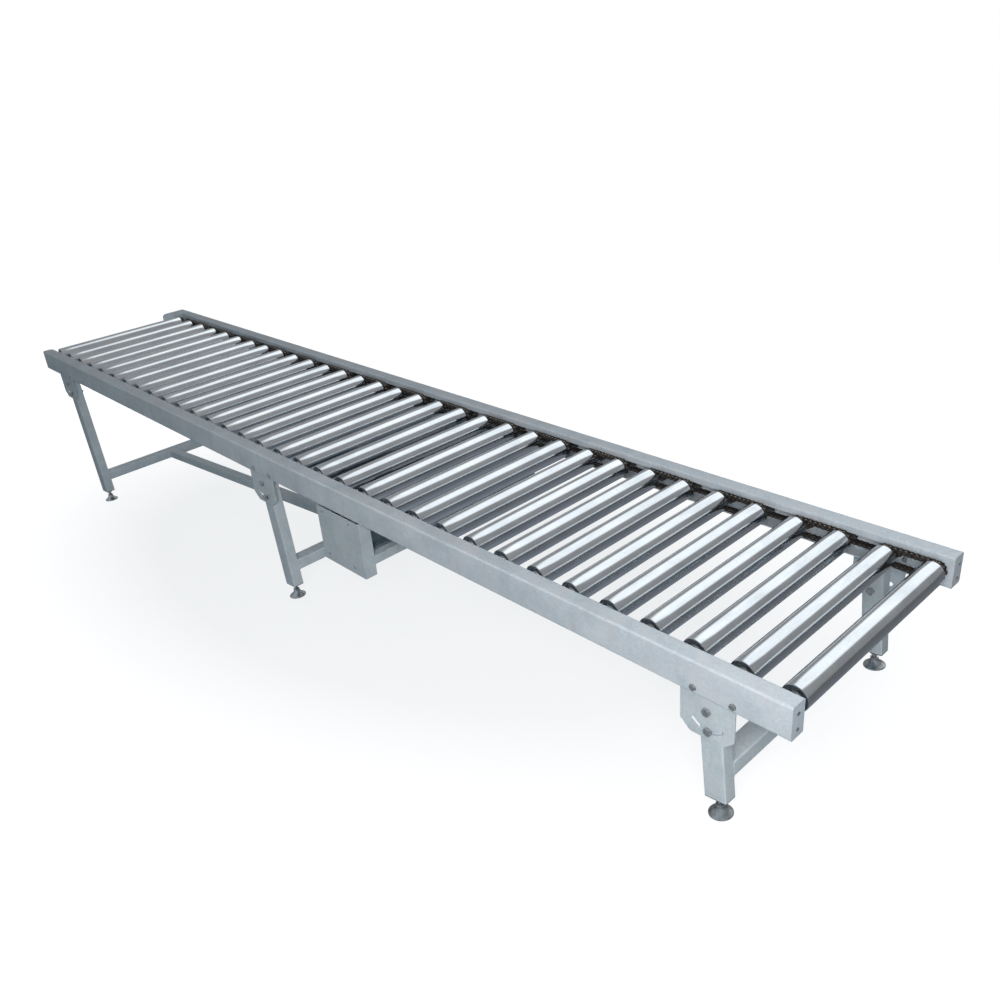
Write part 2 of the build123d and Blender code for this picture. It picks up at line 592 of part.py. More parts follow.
with BuildPart() as terminal_box:
    with BuildSketch(flat_plane(DRIVE_W + MOTOR_R - 6)) as terminal_foot:
        with Locations((DRIVE_U, 240)):
            RectangleRounded(62, 62, 6)
    extrude(amount=26)
    with BuildSketch(section_plane(DRIVE_U + 31)) as gland_face:
        with Locations((240, DRIVE_W + MOTOR_R + 8)):
            Circle(8)
    extrude(amount=14)
gearmotor_solids = [gearbox.part, motor_body.part, fan_cover.part, terminal_box.part]
print("gearmotor solids", [len(q.solids()) for q in gearmotor_solids])
# the terminal box sits on the motor's ribs
with BuildPart() as terminal_fitted:
    add(terminal_box.part)
    add(motor_body.part, mode=Mode.SUBTRACT)
finish(Compound(children=[gearbox.part.solids()[0], motor_body.part.solids()[0], fan_cover.part.solids()[0], terminal_fitted.part.solids()[0]]), "gearmotor")

# ---------------------------------------------------------------------------
# leg brackets: plates bolted inside the rail webs, each with a pivot hole and
# an arc slot that lets the leg stand upright under a sloping bed
# ---------------------------------------------------------------------------
PLATE_TOP_W = -53.0
PLATE_BOT_W = PIVOT_W - 69.0
EAR, EAR_W = 75.0, -73.4         # ear inside the channel that takes the outer bolt
with BuildPart() as leg_brackets:
    for x in LEG_X:
        pu = pivot_u(x)
        for v_out in (SHEET + PLATE_T, far(SHEET)):
            with BuildSketch(side_plane(v_out)) as plate_face:
                with BuildLine():
                    Polyline((pu - PLATE_HALF_W, PLATE_TOP_W), (pu + EAR, PLATE_TOP_W), (pu + EAR, EAR_W), (pu + PLATE_HALF_W, EAR_W),
                             (pu + PLATE_HALF_W, PLATE_BOT_W + 23),
                             (pu + 40, PLATE_BOT_W), (pu - 40, PLATE_BOT_W), (pu - PLATE_HALF_W, PLATE_BOT_W + 23), close=True)
                make_face()
                with Locations(*[(pu + d, WEB_BOLT_W) for d in WEB_BOLT_DU]):
                    Circle(4.2, mode=Mode.SUBTRACT)
                with Locations((pu, PIVOT_W)):
                    Circle(PIVOT_D / 2 + 0.05, mode=Mode.SUBTRACT)
                # arc slot about the pivot
                r_in, r_out = LOCK_R - LOCK_D / 2 - 0.5, LOCK_R + LOCK_D / 2 + 0.5
                a0, a1 = radians(270 - SLOT_HALF_DEG), radians(270 + SLOT_HALF_DEG)
                am = radians(270)
                on = lambda rr, aa: (pu + rr * cos(aa), PIVOT_W + rr * sin(aa))
                cap = lambda aa, s: (pu + LOCK_R * cos(aa) + s * 5.5 * -sin(aa), PIVOT_W + LOCK_R * sin(aa) + s * 5.5 * cos(aa))
                with BuildLine():
                    ThreePointArc(on(r_out, a0), on(r_out, am), on(r_out, a1))
                    ThreePointArc(on(r_out, a1), cap(a1, 1), on(r_in, a1))
                    ThreePointArc(on(r_in, a1), on(r_in, am), on(r_in, a0))
                    ThreePointArc(on(r_in, a0), cap(a0, -1), on(r_out, a0))
                make_face(mode=Mode.SUBTRACT)
            extrude(amount=PLATE_T)
print("bracket solids", len(leg_brackets.part.solids()))
finish(Compound(children=leg_brackets.part.solids()), "leg_brackets")


# ---------------------------------------------------------------------------
# leg frames: two box-section legs and a brace welded between them
# ---------------------------------------------------------------------------
FRAME_NAMES = ("right_leg_frame", "mid_leg_frame", "left_leg_frame")
for x, frame_name in zip(LEG_X, FRAME_NAMES):
    xp = x + X0
    xm = xp + LEG_OFF
    top = pivot_z(x) + LEG_TOP
    yc = (near_y(LEG_V + LEG_B / 2), near_y(far(LEG_V + LEG_B / 2)))
    with BuildPart() as frame:
        with BuildSketch(Plane.XY.offset(LEG_BOTTOM + 2)) as leg_sections:
            with Locations((xm, yc[0]), (xm, yc[1])):
                RectangleRounded(LEG_A, LEG_B, LEG_CORNER)
                RectangleRounded(LEG_A - 2 * LEG_WALL, LEG_B - 2 * LEG_WALL, 1.0, mode=Mode.SUBTRACT)
        extrude(amount=top - LEG_BOTTOM - 2)
        reach = yc[1] - LEG_B / 2 + 0.5
        with BuildSketch(upright_plane(reach)) as brace_section:
            with Locations((xm, BRACE_Z)):
                RectangleRounded(LEG_A, BRACE_H, 4)
                RectangleRounded(LEG_A - 2 * LEG_WALL, BRACE_H - 2 * LEG_WALL, 1.5, mode=Mode.SUBTRACT)
        extrude(amount=2 * reach)
        with BuildSketch(upright_plane(BED_WIDTH / 2)) as pivot_holes:
            with Locations((xp, pivot_z(x))):
                Circle(PIVOT_D / 2 + 0.05)
            with Locations((xp, pivot_z(x) - LOCK_R)):
                Circle(LOCK_D / 2 + 0.05)
        extrude(amount=BED_WIDTH, mode=Mode.SUBTRACT)
    with BuildPart() as plugs:
        with BuildSketch(Plane.XY.offset(LEG_BOTTOM)) as plug_flange:
            with Locations((xm, yc[0]), (xm, yc[1])):
                RectangleRounded(LEG_A, LEG_B, LEG_CORNER)
        extrude(amount=2)
        with BuildSketch(Plane.XY.offset(LEG_BOTTOM + 2)) as plug_body:
            with Locations((xm, yc[0]), (xm, yc[1])):
                RectangleRounded(LEG_A - 2 * LEG_WALL, LEG_B - 2 * LEG_WALL, 1.0)
        extrude(amount=14)
        with BuildSketch(Plane.XY.offset(LEG_BOTTOM - 1)) as plug_bore:
            with Locations((xm, yc[0]), (xm, yc[1])):
                Circle(STUD_D / 2 + 0.05)
        extrude(amount=20, mode=Mode.SUBTRACT)
    print(frame_name, len(frame.part.solids()), len(plugs.part.solids()), "pivot z", round(pivot_z(x), 2), "X", round(xm, 2))
    finish(Compound(children=frame.part.solids() + plugs.part.solids()), frame_name)

# longitudinal tie between the middle and the left leg frames
with BuildPart() as longitudinal_tie:
    x_a, x_b = LEG_X[2] + X0 + LEG_OFF + LEG_A / 2, LEG_X[1] + X0 + LEG_OFF - LEG_A / 2
    with BuildSketch(Plane.YZ.offset(x_a + 4)) as tie_section:
        with Locations((TIE_Y, BRACE_Z)):
            RectangleRounded(36, 36, 4)
            RectangleRounded(31, 31, 1.5, mode=Mode.SUBTRACT)
    extrude(amount=x_b - x_a - 8)
    for x_plate in (x_a, x_b - 4):
        with BuildSketch(Plane.YZ.offset(x_plate)) as tie_plate:
            with Locations((TIE_Y, BRACE_Z)):
                RectangleRounded(86, 32, 4)
        extrude(amount=4)
finish(longitudinal_tie.part, "longitudinal_tie")


# ---------------------------------------------------------------------------
# fasteners
# ---------------------------------------------------------------------------
BRACKET_BOLTS = [(pivot_u(x) + d, WEB_BOLT_W) for x in LEG_X for d in WEB_BOLT_DU]
with BuildPart() as bracket_bolts:
    # heads on the web, shank through web and bracket, nut behind
    with BuildSketch(side_plane(0)) as near_heads:
        with Locations(*BRACKET_BOLTS):
            RegularPolygon(6.5, 6, major_radius=False)
    extrude(amount=4.5)
    with BuildSketch(side_plane(18)) as near_shanks:
        with Locations(*BRACKET_BOLTS):
            Circle(4)
    extrude(amount=18)
    with BuildSketch(side_plane(SHEET + PLATE_T + 6.5)) as near_nuts:
        with Locations(*BRACKET_BOLTS):
            RegularPolygon(6.5, 6, major_radius=False)
    extrude(amount=6.5)
    with BuildSketch(side_plane(BED_WIDTH + 4.5)) as far_heads:
        with Locations(*BRACKET_BOLTS):
            RegularPolygon(6.5, 6, major_radius=False)
    extrude(amount=4.5)
    with BuildSketch(side_plane(BED_WIDTH)) as far_shanks:
        with Locations(*BRACKET_BOLTS):
            Circle(4)
    extrude(amount=18)
    with BuildSketch(side_plane(far(SHEET + PLATE_T))) as far_nuts:
        with Locations(*BRACKET_BOLTS):
            RegularPolygon(6.5, 6, major_radius=False)
    extrude(amount=6.5)
print("bracket bolts", len(bracket_bolts.part.solids()))
finish(Compound(children=bracket_bolts.part.solids()), "bracket_bolts")


# bolts through bracket and leg: head outside, nut inboard of the leg
PIVOTS = [(x + X0, pivot_z(x)) for x in LEG_X]
LOCKS = [(x + X0, pivot_z(x) - LOCK_R) for x in LEG_X]
V_HEAD = SHEET - 0.2
V_NUT = LEG_V + LEG_B + 0.2
BOLT_SETS = (
    ("leg_bolts", ((PIVOTS, PIVOT_D / 2, 17.0), (LOCKS[1:], LOCK_D / 2, 17.0))),
    ("right_lock_bolts", ((LOCKS[:1], LOCK_D / 2, 17.0),)),
)
for set_name, groups in BOLT_SETS:
    with BuildPart() as bolt_set:
        for places, radius, across_flats in groups:
            for mirrored in (False, True):
                with BuildSketch(upright_plane(near_y(far(V_HEAD) + 6.5 if mirrored else V_HEAD))) as bolt_heads:
                    with Locations(*places):
                        RegularPolygon(across_flats / 2, 6, major_radius=False)
                extrude(amount=6.5)
                with BuildSketch(upright_plane(near_y(far(V_HEAD) if mirrored else V_NUT + 11))) as bolt_shanks:
                    with Locations(*places):
                        Circle(radius)
                extrude(amount=V_NUT + 11 - V_HEAD)
                with BuildSketch(upright_plane(near_y(far(V_NUT) if mirrored else V_NUT + 8))) as bolt_nuts:
                    with Locations(*places):
                        RegularPolygon(across_flats / 2, 6, major_radius=False)
                extrude(amount=8)
    print(set_name, len(bolt_set.part.solids()))
    finish(Compound(children=bolt_set.part.solids()), set_name)

with BuildPart() as panel_screws:
    # end cap and guard screws
    for u_face, direction, mirrored in ((U_RIGHT + CAP_T, 1, False), (U_RIGHT + CAP_T, 1, True), (U_LEFT - CAP_T, -1, False), (U_LEFT - SHEET, -1, True)):
        spots = [(far(a) if mirrored else a, b) for a, b in SCREW_VW]
        with BuildSketch(section_plane(u_face)) as heads:
            with Locations(*spots):
                Circle(4.6)
        extrude(amount=2.2 * direction)
        with BuildSketch(section_plane(u_face)) as shanks:
            with Locations(*spots):
                Circle(2.5)
        extrude(amount=-12 * direction)
    # cover screws
    with BuildSketch(side_plane(0)) as cover_heads:
        with Locations(*COVER_SCREWS):
            Circle(4.6)
    extrude(amount=2.2)
    with BuildSketch(side_plane(12)) as cover_shanks:
        with Locations(*COVER_SCREWS):
            Circle(2.5)
    extrude(amount=12)
print("panel screws", len(panel_screws.part.solids()))
finish(Compound(children=panel_screws.part.solids()), "panel_screws")

# ---------------------------------------------------------------------------
# levelling feet: bell-shaped base, threaded stud, lock nut against the leg
# ---------------------------------------------------------------------------
FEET = (("foot_right_near", 0, False), ("foot_right_far", 0, True), ("foot_mid_near", 1, False),
        ("foot_mid_far", 1, True), ("foot_left_near", 2, False), ("foot_left_far", 2, True))
for foot_name, leg, mirrored in FEET:
    fx = LEG_X[leg] + X0 + LEG_OFF
    fy = near_y(far(LEG_V + LEG_B / 2) if mirrored else LEG_V + LEG_B / 2)
    R = FOOT_D / 2
    with BuildPart() as foot_base:
        with BuildSketch(Plane(origin=(fx, fy, 0), x_dir=(1, 0, 0), z_dir=(0, -1, 0))) as bell:
            with BuildLine():
                Polyline((0, 0), (R, 0), (R, 3.5))
                Spline((R, 3.5), (R - 5, 7.5), (R - 12.5, 12.5), (R - 16.5, 19.0))
                Polyline((R - 16.5, 19.0), (R - 17, 27), (0, 27), (0, 0))
            make_face()
        revolve(axis=Axis(origin=(fx, fy, 0), direction=(0, 0, 1)))
    with BuildPart() as foot_stud:
        with BuildSketch(Plane.XY.offset(27)) as stud_end:
            with Locations((fx, fy)):
                Circle(STUD_D / 2)
        extrude(amount=78)
        chamfer(foot_stud.edges().filter_by(GeomType.CIRCLE).sort_by(Axis.Z)[-1], 1)
    with BuildPart() as lock_nut:
        with BuildSketch(Plane.XY.offset(LEG_BOTTOM - 10.1)) as nut_face:
            with Locations((fx, fy)):
                RegularPolygon(9, 6, major_radius=False)
                Circle(STUD_D / 2, mode=Mode.SUBTRACT)
        extrude(amount=10)
    finish(Compound(children=[foot_base.part.solids()[0], foot_stud.part.solids()[0], lock_nut.part.solids()[0]]), foot_name)

print("drive sprocket u,w", round(DRIVE_U, 2), round(DRIVE_W, 2), "line", round(LINE_DEG, 2), "span", round(span, 2), "X0", round(X0, 3))
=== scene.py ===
import bpy, bmesh, json, math, random
from math import sin, cos, pi, radians, sqrt, atan2, tan
from mathutils import Vector, Matrix


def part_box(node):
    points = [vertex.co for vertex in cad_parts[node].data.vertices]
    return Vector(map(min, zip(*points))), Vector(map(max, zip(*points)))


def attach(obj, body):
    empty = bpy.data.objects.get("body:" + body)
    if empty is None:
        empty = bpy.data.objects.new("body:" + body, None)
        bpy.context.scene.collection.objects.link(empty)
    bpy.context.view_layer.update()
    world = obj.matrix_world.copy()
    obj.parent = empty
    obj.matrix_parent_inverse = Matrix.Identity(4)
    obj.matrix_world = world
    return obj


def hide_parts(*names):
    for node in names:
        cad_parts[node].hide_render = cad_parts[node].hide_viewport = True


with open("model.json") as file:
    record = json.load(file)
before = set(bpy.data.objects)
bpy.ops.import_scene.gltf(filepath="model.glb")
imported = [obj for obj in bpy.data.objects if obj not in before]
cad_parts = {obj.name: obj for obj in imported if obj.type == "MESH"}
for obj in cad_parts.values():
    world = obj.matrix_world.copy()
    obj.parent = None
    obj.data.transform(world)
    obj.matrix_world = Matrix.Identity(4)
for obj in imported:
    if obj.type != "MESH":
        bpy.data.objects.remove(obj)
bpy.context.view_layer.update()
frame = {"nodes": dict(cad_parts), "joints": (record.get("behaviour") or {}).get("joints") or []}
NODES = frame["nodes"]
JOINT = {j["name"]: j for j in frame["joints"]}
SCENE = bpy.context.scene

# ---------------------------------------------------------------------------
# the tilted bed's own frame, in mm: u along the rails from roller 1, v across
# from the outer face of the drive-side rail, w square to the bed from the rail
# tops.  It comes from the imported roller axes.
# ---------------------------------------------------------------------------
P01 = Vector(JOINT["roller_01_spin"]["pos_m"])
P33 = Vector(JOINT["roller_33_spin"]["pos_m"])
DRV = Vector(JOINT["drive_spin"]["pos_m"])
U = (P01 - P33); U.y = 0.0; U.normalize()
W = Vector((-U.z, 0.0, U.x))
Y = Vector((0.0, 1.0, 0.0))
PITCH = (P01 - P33).length / 32 * 1000
AXIS_W = -29.5
HALF = 360.0
O = Vector((P01.x, 0.0, P01.z)) - W * (AXIS_W / 1000) - Y * (HALF / 1000)
N_ROLL = 33
RAIL_H, FLANGE, LIP, SHEET = 80.0, 43.0, 20.0, 3.0
U_L, U_R = -32 * PITCH - 34.0, 29.0
CHAIN_P = 12.7


def bed(u, v, w):
    return O + U * (u / 1000) + Y * (v / 1000) + W * (w / 1000)


def bed_of(p):
    d = p - O
    return d.dot(U) * 1000, d.dot(Y) * 1000, d.dot(W) * 1000


BED = Matrix(((U.x, 0, W.x, O.x), (U.y, 1, W.y, O.y), (U.z, 0, W.z, O.z), (0, 0, 0, 1)))
DRIVE_U, _v, DRIVE_W = bed_of(DRV)
DRIVEN_U = -13 * PITCH
R_SMALL = CHAIN_P / 2 / sin(pi / 10)
R_BIG = CHAIN_P / 2 / sin(pi / 16)
STRAND = R_SMALL * cos(pi / 10)


# ---------------------------------------------------------------------------
# materials
# ---------------------------------------------------------------------------
def node_tree(name):
    m = bpy.data.materials.new(name)
    m.use_nodes = True
    t = m.node_tree
    t.nodes.clear()
    out = t.nodes.new("ShaderNodeOutputMaterial")
    b = t.nodes.new("ShaderNodeBsdfPrincipled")
    t.links.new(b.outputs[0], out.inputs[0])
    return m, t, b


def add(t, kind, **values):
    n = t.nodes.new(kind)
    for k, v in values.items():
        setattr(n, k, v)
    return n


def coords(t, scale=(1, 1, 1), source="Object"):
    c = add(t, "ShaderNodeTexCoord")
    m = add(t, "ShaderNodeMapping")
    m.inputs["Scale"].default_value = scale
    t.links.new(c.outputs[source], m.inputs["Vector"])
    return m.outputs[0]


def noise(t, vec, scale, detail=4.0, rough=0.55, distortion=0.0):
    n = add(t, "ShaderNodeTexNoise")
    n.inputs["Scale"].default_value = scale
    n.inputs["Detail"].default_value = detail
    n.inputs["Roughness"].default_value = rough
    n.inputs["Distortion"].default_value = distortion
    t.links.new(vec, n.inputs["Vector"])
    return n.outputs["Fac"]


def ramp(t, fac, stops, interp="LINEAR"):
    r = add(t, "ShaderNodeValToRGB")
    r.color_ramp.interpolation = interp
    els = r.color_ramp.elements
    while len(els) < len(stops):
        els.new(0.5)
    for e, (p, c) in zip(els, stops):
        e.position = p
        e.color = (c[0], c[1], c[2], 1) if hasattr(c, "__len__") else (c, c, c, 1)
    t.links.new(fac, r.inputs[0])
    return r.outputs[0]


def mix(t, a, b, fac, kind="MIX"):
    m = add(t, "ShaderNodeMix", data_type="RGBA", blend_type=kind)
    if isinstance(fac, float):
        m.inputs[0].default_value = fac
    else:
        t.links.new(fac, m.inputs[0])
    for i, x in ((6, a), (7, b)):
        if hasattr(x, "__len__"):
            m.inputs[i].default_value = (x[0], x[1], x[2], 1)
        else:
            t.links.new(x, m.inputs[i])
    return m.outputs[2]


def remap(t, fac, a, b, lo=0.0, hi=1.0):
    m = add(t, "ShaderNodeMapRange")
    m.inputs["From Min"].default_value = lo
    m.inputs["From Max"].default_value = hi
    m.inputs["To Min"].default_value = a
    m.inputs["To Max"].default_value = b
    t.links.new(fac, m.inputs["Value"])
    return m.outputs[0]


def maths(t, op, a, b):
    m = add(t, "ShaderNodeMath", operation=op)
    for i, x in ((0, a), (1, b)):
        if isinstance(x, (int, float)):
            m.inputs[i].default_value = x
        else:
            t.links.new(x, m.inputs[i])
    return m.outputs[0]


def bump(t, b, height, strength, distance):
    n = add(t, "ShaderNodeBump")
    n.inputs["Strength"].default_value = strength
    n.inputs["Distance"].default_value = distance
    t.links.new(height, n.inputs["Height"])
    t.links.new(n.outputs[0], b.inputs["Normal"])


def sheet_steel(name, light, mid, dark, tint, metallic=0.35, rough=(0.34, 0.52), spangle=0.5, grime=0.35):
    """coated sheet steel: faint spangle, cloudy tint, fine orange peel, a little grime"""
    m, t, b = node_tree(name)
    v = coords(t)
    vor = add(t, "ShaderNodeTexVoronoi", feature="F1", distance="EUCLIDEAN")
    vor.inputs["Scale"].default_value = 210.0
    vor.inputs["Randomness"].default_value = 1.0
    t.links.new(v, vor.inputs["Vector"])
    sep = add(t, "ShaderNodeSeparateColor")
    t.links.new(vor.outputs["Color"], sep.inputs[0])
    cloud = noise(t, v, 9.0, 5.0, 0.62, 0.4)
    fine = noise(t, v, 460.0, 3.0, 0.6)
    base = ramp(t, cloud, [(0.30, dark), (0.50, mid), (0.72, light)])
    flake = ramp(t, sep.outputs[0], [(0.0, 0.86), (0.5, 0.98), (1.0, 1.10)])
    c = mix(t, base, flake, spangle, "MULTIPLY")
    warm = ramp(t, noise(t, v, 21.0, 3.0, 0.5, 0.8), [(0.42, 0.0), (0.70, 1.0)])
    c = mix(t, c, tint, maths(t, "MULTIPLY", warm, 0.32))
    speck = ramp(t, noise(t, v, 900.0, 2.0, 0.7), [(0.30, 0.80), (0.42, 1.0)])
    c = mix(t, c, speck, grime, "MULTIPLY")
    stain = ramp(t, noise(t, coords(t, (5, 5, 1.2)), 3.0, 6.0, 0.7, 1.2), [(0.30, 0.72), (0.47, 1.0)])
    c = mix(t, c, stain, grime, "MULTIPLY")
    t.links.new(c, b.inputs["Base Color"])
    b.inputs["Metallic"].default_value = metallic
    r = maths(t, "ADD", remap(t, cloud, rough[0], rough[1], 0.3, 0.7), remap(t, sep.outputs[1], -0.04, 0.05))
    t.links.new(r, b.inputs["Roughness"])
    h = maths(t, "ADD", maths(t, "MULTIPLY", fine, 0.6), maths(t, "MULTIPLY", noise(t, v, 60.0, 2.0), 0.8))
    bump(t, b, h, 0.10, 0.0006)
    b.inputs["Coat Weight"].default_value = 0.12
    b.inputs["Coat Roughness"].default_value = 0.28
    return m


def plated_tube(name):
    """bright plated roller tube: lengthwise draw lines, rubbing rings, faint clouding"""
    m, t, b = node_tree(name)
    info = add(t, "ShaderNodeObjectInfo")
    c0 = add(t, "ShaderNodeTexCoord")
    shift = add(t, "ShaderNodeVectorMath", operation="SCALE")
    shift.inputs[0].default_value = (3.1, 5.7, 1.9)
    t.links.new(info.outputs["Random"], shift.inputs["Scale"])
    plus = add(t, "ShaderNodeVectorMath", operation="ADD")
    t.links.new(c0.outputs["Object"], plus.inputs[0])
    t.links.new(shift.outputs[0], plus.inputs[1])

    def m_scaled(s):
        mp = add(t, "ShaderNodeMapping")
        mp.inputs["Scale"].default_value = s
        t.links.new(plus.outputs[0], mp.inputs["Vector"])
        return mp.outputs[0]

    rings = noise(t, m_scaled((6, 900, 6)), 1.0, 3.0, 0.6)
    draw = noise(t, m_scaled((700, 5, 700)), 1.0, 3.0, 0.6)
    cloud = noise(t, m_scaled((26, 7, 26)), 1.0, 4.0, 0.6, 0.5)
    spots = ramp(t, noise(t, m_scaled((160, 90, 160)), 1.0, 3.0, 0.7), [(0.28, 0.72), (0.38, 1.0)])
    base = ramp(t, cloud, [(0.3, (0.60, 0.63, 0.66)), (0.5, (0.69, 0.72, 0.745)), (0.7, (0.77, 0.79, 0.80))])
    c = mix(t, base, spots, 0.5, "MULTIPLY")
    c = mix(t, c, ramp(t, rings, [(0.35, 0.86), (0.65, 1.06)]), 0.35, "MULTIPLY")
    t.links.new(c, b.inputs["Base Color"])
    b.inputs["Metallic"].default_value = 1.0
    r = maths(t, "ADD", remap(t, cloud, 0.11, 0.19, 0.3, 0.7), remap(t, rings, -0.015, 0.02, 0.3, 0.7))
    t.links.new(r, b.inputs["Roughness"])
    h = maths(t, "ADD", maths(t, "MULTIPLY", rings, 0.5), maths(t, "MULTIPLY", draw, 0.5))
    bump(t, b, h, 0.035, 0.0001)
    return m


def worked_steel(name, light, dark, rough=(0.22, 0.42), scale=120.0, metallic=1.0, dirt=0.4, grain=(1, 1, 1), bump_mm=0.0002):
    """machined, rolled or plated steel with fine grain, dull patches and dirt in places"""
    m, t, b = node_tree(name)
    v = coords(t, grain)
    a = noise(t, v, scale, 5.0, 0.65)
    f = noise(t, v, scale * 7, 3.0, 0.6)
    c = ramp(t, a, [(0.32, dark), (0.62, light)])
    d = ramp(t, noise(t, coords(t), scale * 0.35, 5.0, 0.7, 0.6), [(0.34, 0.42), (0.52, 1.0)])
    c = mix(t, c, d, dirt, "MULTIPLY")
    t.links.new(c, b.inputs["Base Color"])
    b.inputs["Metallic"].default_value = metallic
    r = maths(t, "ADD", remap(t, a, rough[0], rough[1], 0.3, 0.7), remap(t, f, -0.04, 0.05, 0.3, 0.7))
    t.links.new(r, b.inputs["Roughness"])
    bump(t, b, f, 0.15, bump_mm)
    return m


MAT_RAIL = sheet_steel("rail_sheet", (0.60, 0.65, 0.695), (0.52, 0.58, 0.635), (0.45, 0.515, 0.57), (0.62, 0.59, 0.60), metallic=0.28)
MAT_LEG = sheet_steel("leg_sheet", (0.57, 0.63, 0.67), (0.50, 0.565, 0.61), (0.43, 0.495, 0.54), (0.57, 0.56, 0.565), metallic=0.28, rough=(0.38, 0.55))
MAT_BOX = sheet_steel("box_sheet", (0.55, 0.61, 0.65), (0.48, 0.545, 0.59), (0.41, 0.475, 0.52), (0.56, 0.545, 0.545), metallic=0.28, rough=(0.36, 0.54), grime=0.45)
MAT_TUBE = plated_tube("roller_tube")
MAT_CUP = worked_steel("roller_cup", (0.72, 0.73, 0.73), (0.46, 0.47, 0.48), (0.2, 0.38), 90.0)
MAT_SEAL = worked_steel("bearing_seal", (0.05, 0.05, 0.05), (0.02, 0.02, 0.02), (0.45, 0.6), 200.0, 0.0, 0.3)
MAT_CHAIN = worked_steel("chain_links", (0.105, 0.092, 0.082), (0.036, 0.031, 0.027), (0.30, 0.52), 160.0, 0.85, 0.5)
MAT_PIN = worked_steel("chain_pins", (0.24, 0.22, 0.20), (0.09, 0.08, 0.07), (0.25, 0.45), 260.0, 0.9, 0.5)
MAT_SPROCKET = worked_steel("sprocket_teeth", (0.20, 0.19, 0.18), (0.07, 0.062, 0.055), (0.28, 0.46), 120.0, 0.9, 0.5)
MAT_BOLT = worked_steel("zinc_bolts", (0.70, 0.71, 0.70), (0.44, 0.45, 0.45), (0.22, 0.40), 160.0)
MAT_FOOT = worked_steel("turned_foot", (0.60, 0.64, 0.655), (0.34, 0.38, 0.40), (0.24, 0.42), 70.0, 1.0, 0.45)
MAT_AXLE = worked_steel("axle_bar", (0.55, 0.56, 0.56), (0.33, 0.34, 0.35), (0.28, 0.46), 80.0, 1.0, 0.4)
MAT_MOTOR = sheet_steel("motor_enamel", (0.10, 0.135, 0.16), (0.075, 0.105, 0.128), (0.05, 0.075, 0.095), (0.12, 0.13, 0.14), 0.0, (0.35, 0.5), 0.25, 0.5)
MAT_PLASTIC = worked_steel("black_plastic", (0.055, 0.055, 0.057), (0.03, 0.03, 0.032), (0.42, 0.58), 140.0, 0.0, 0.3)


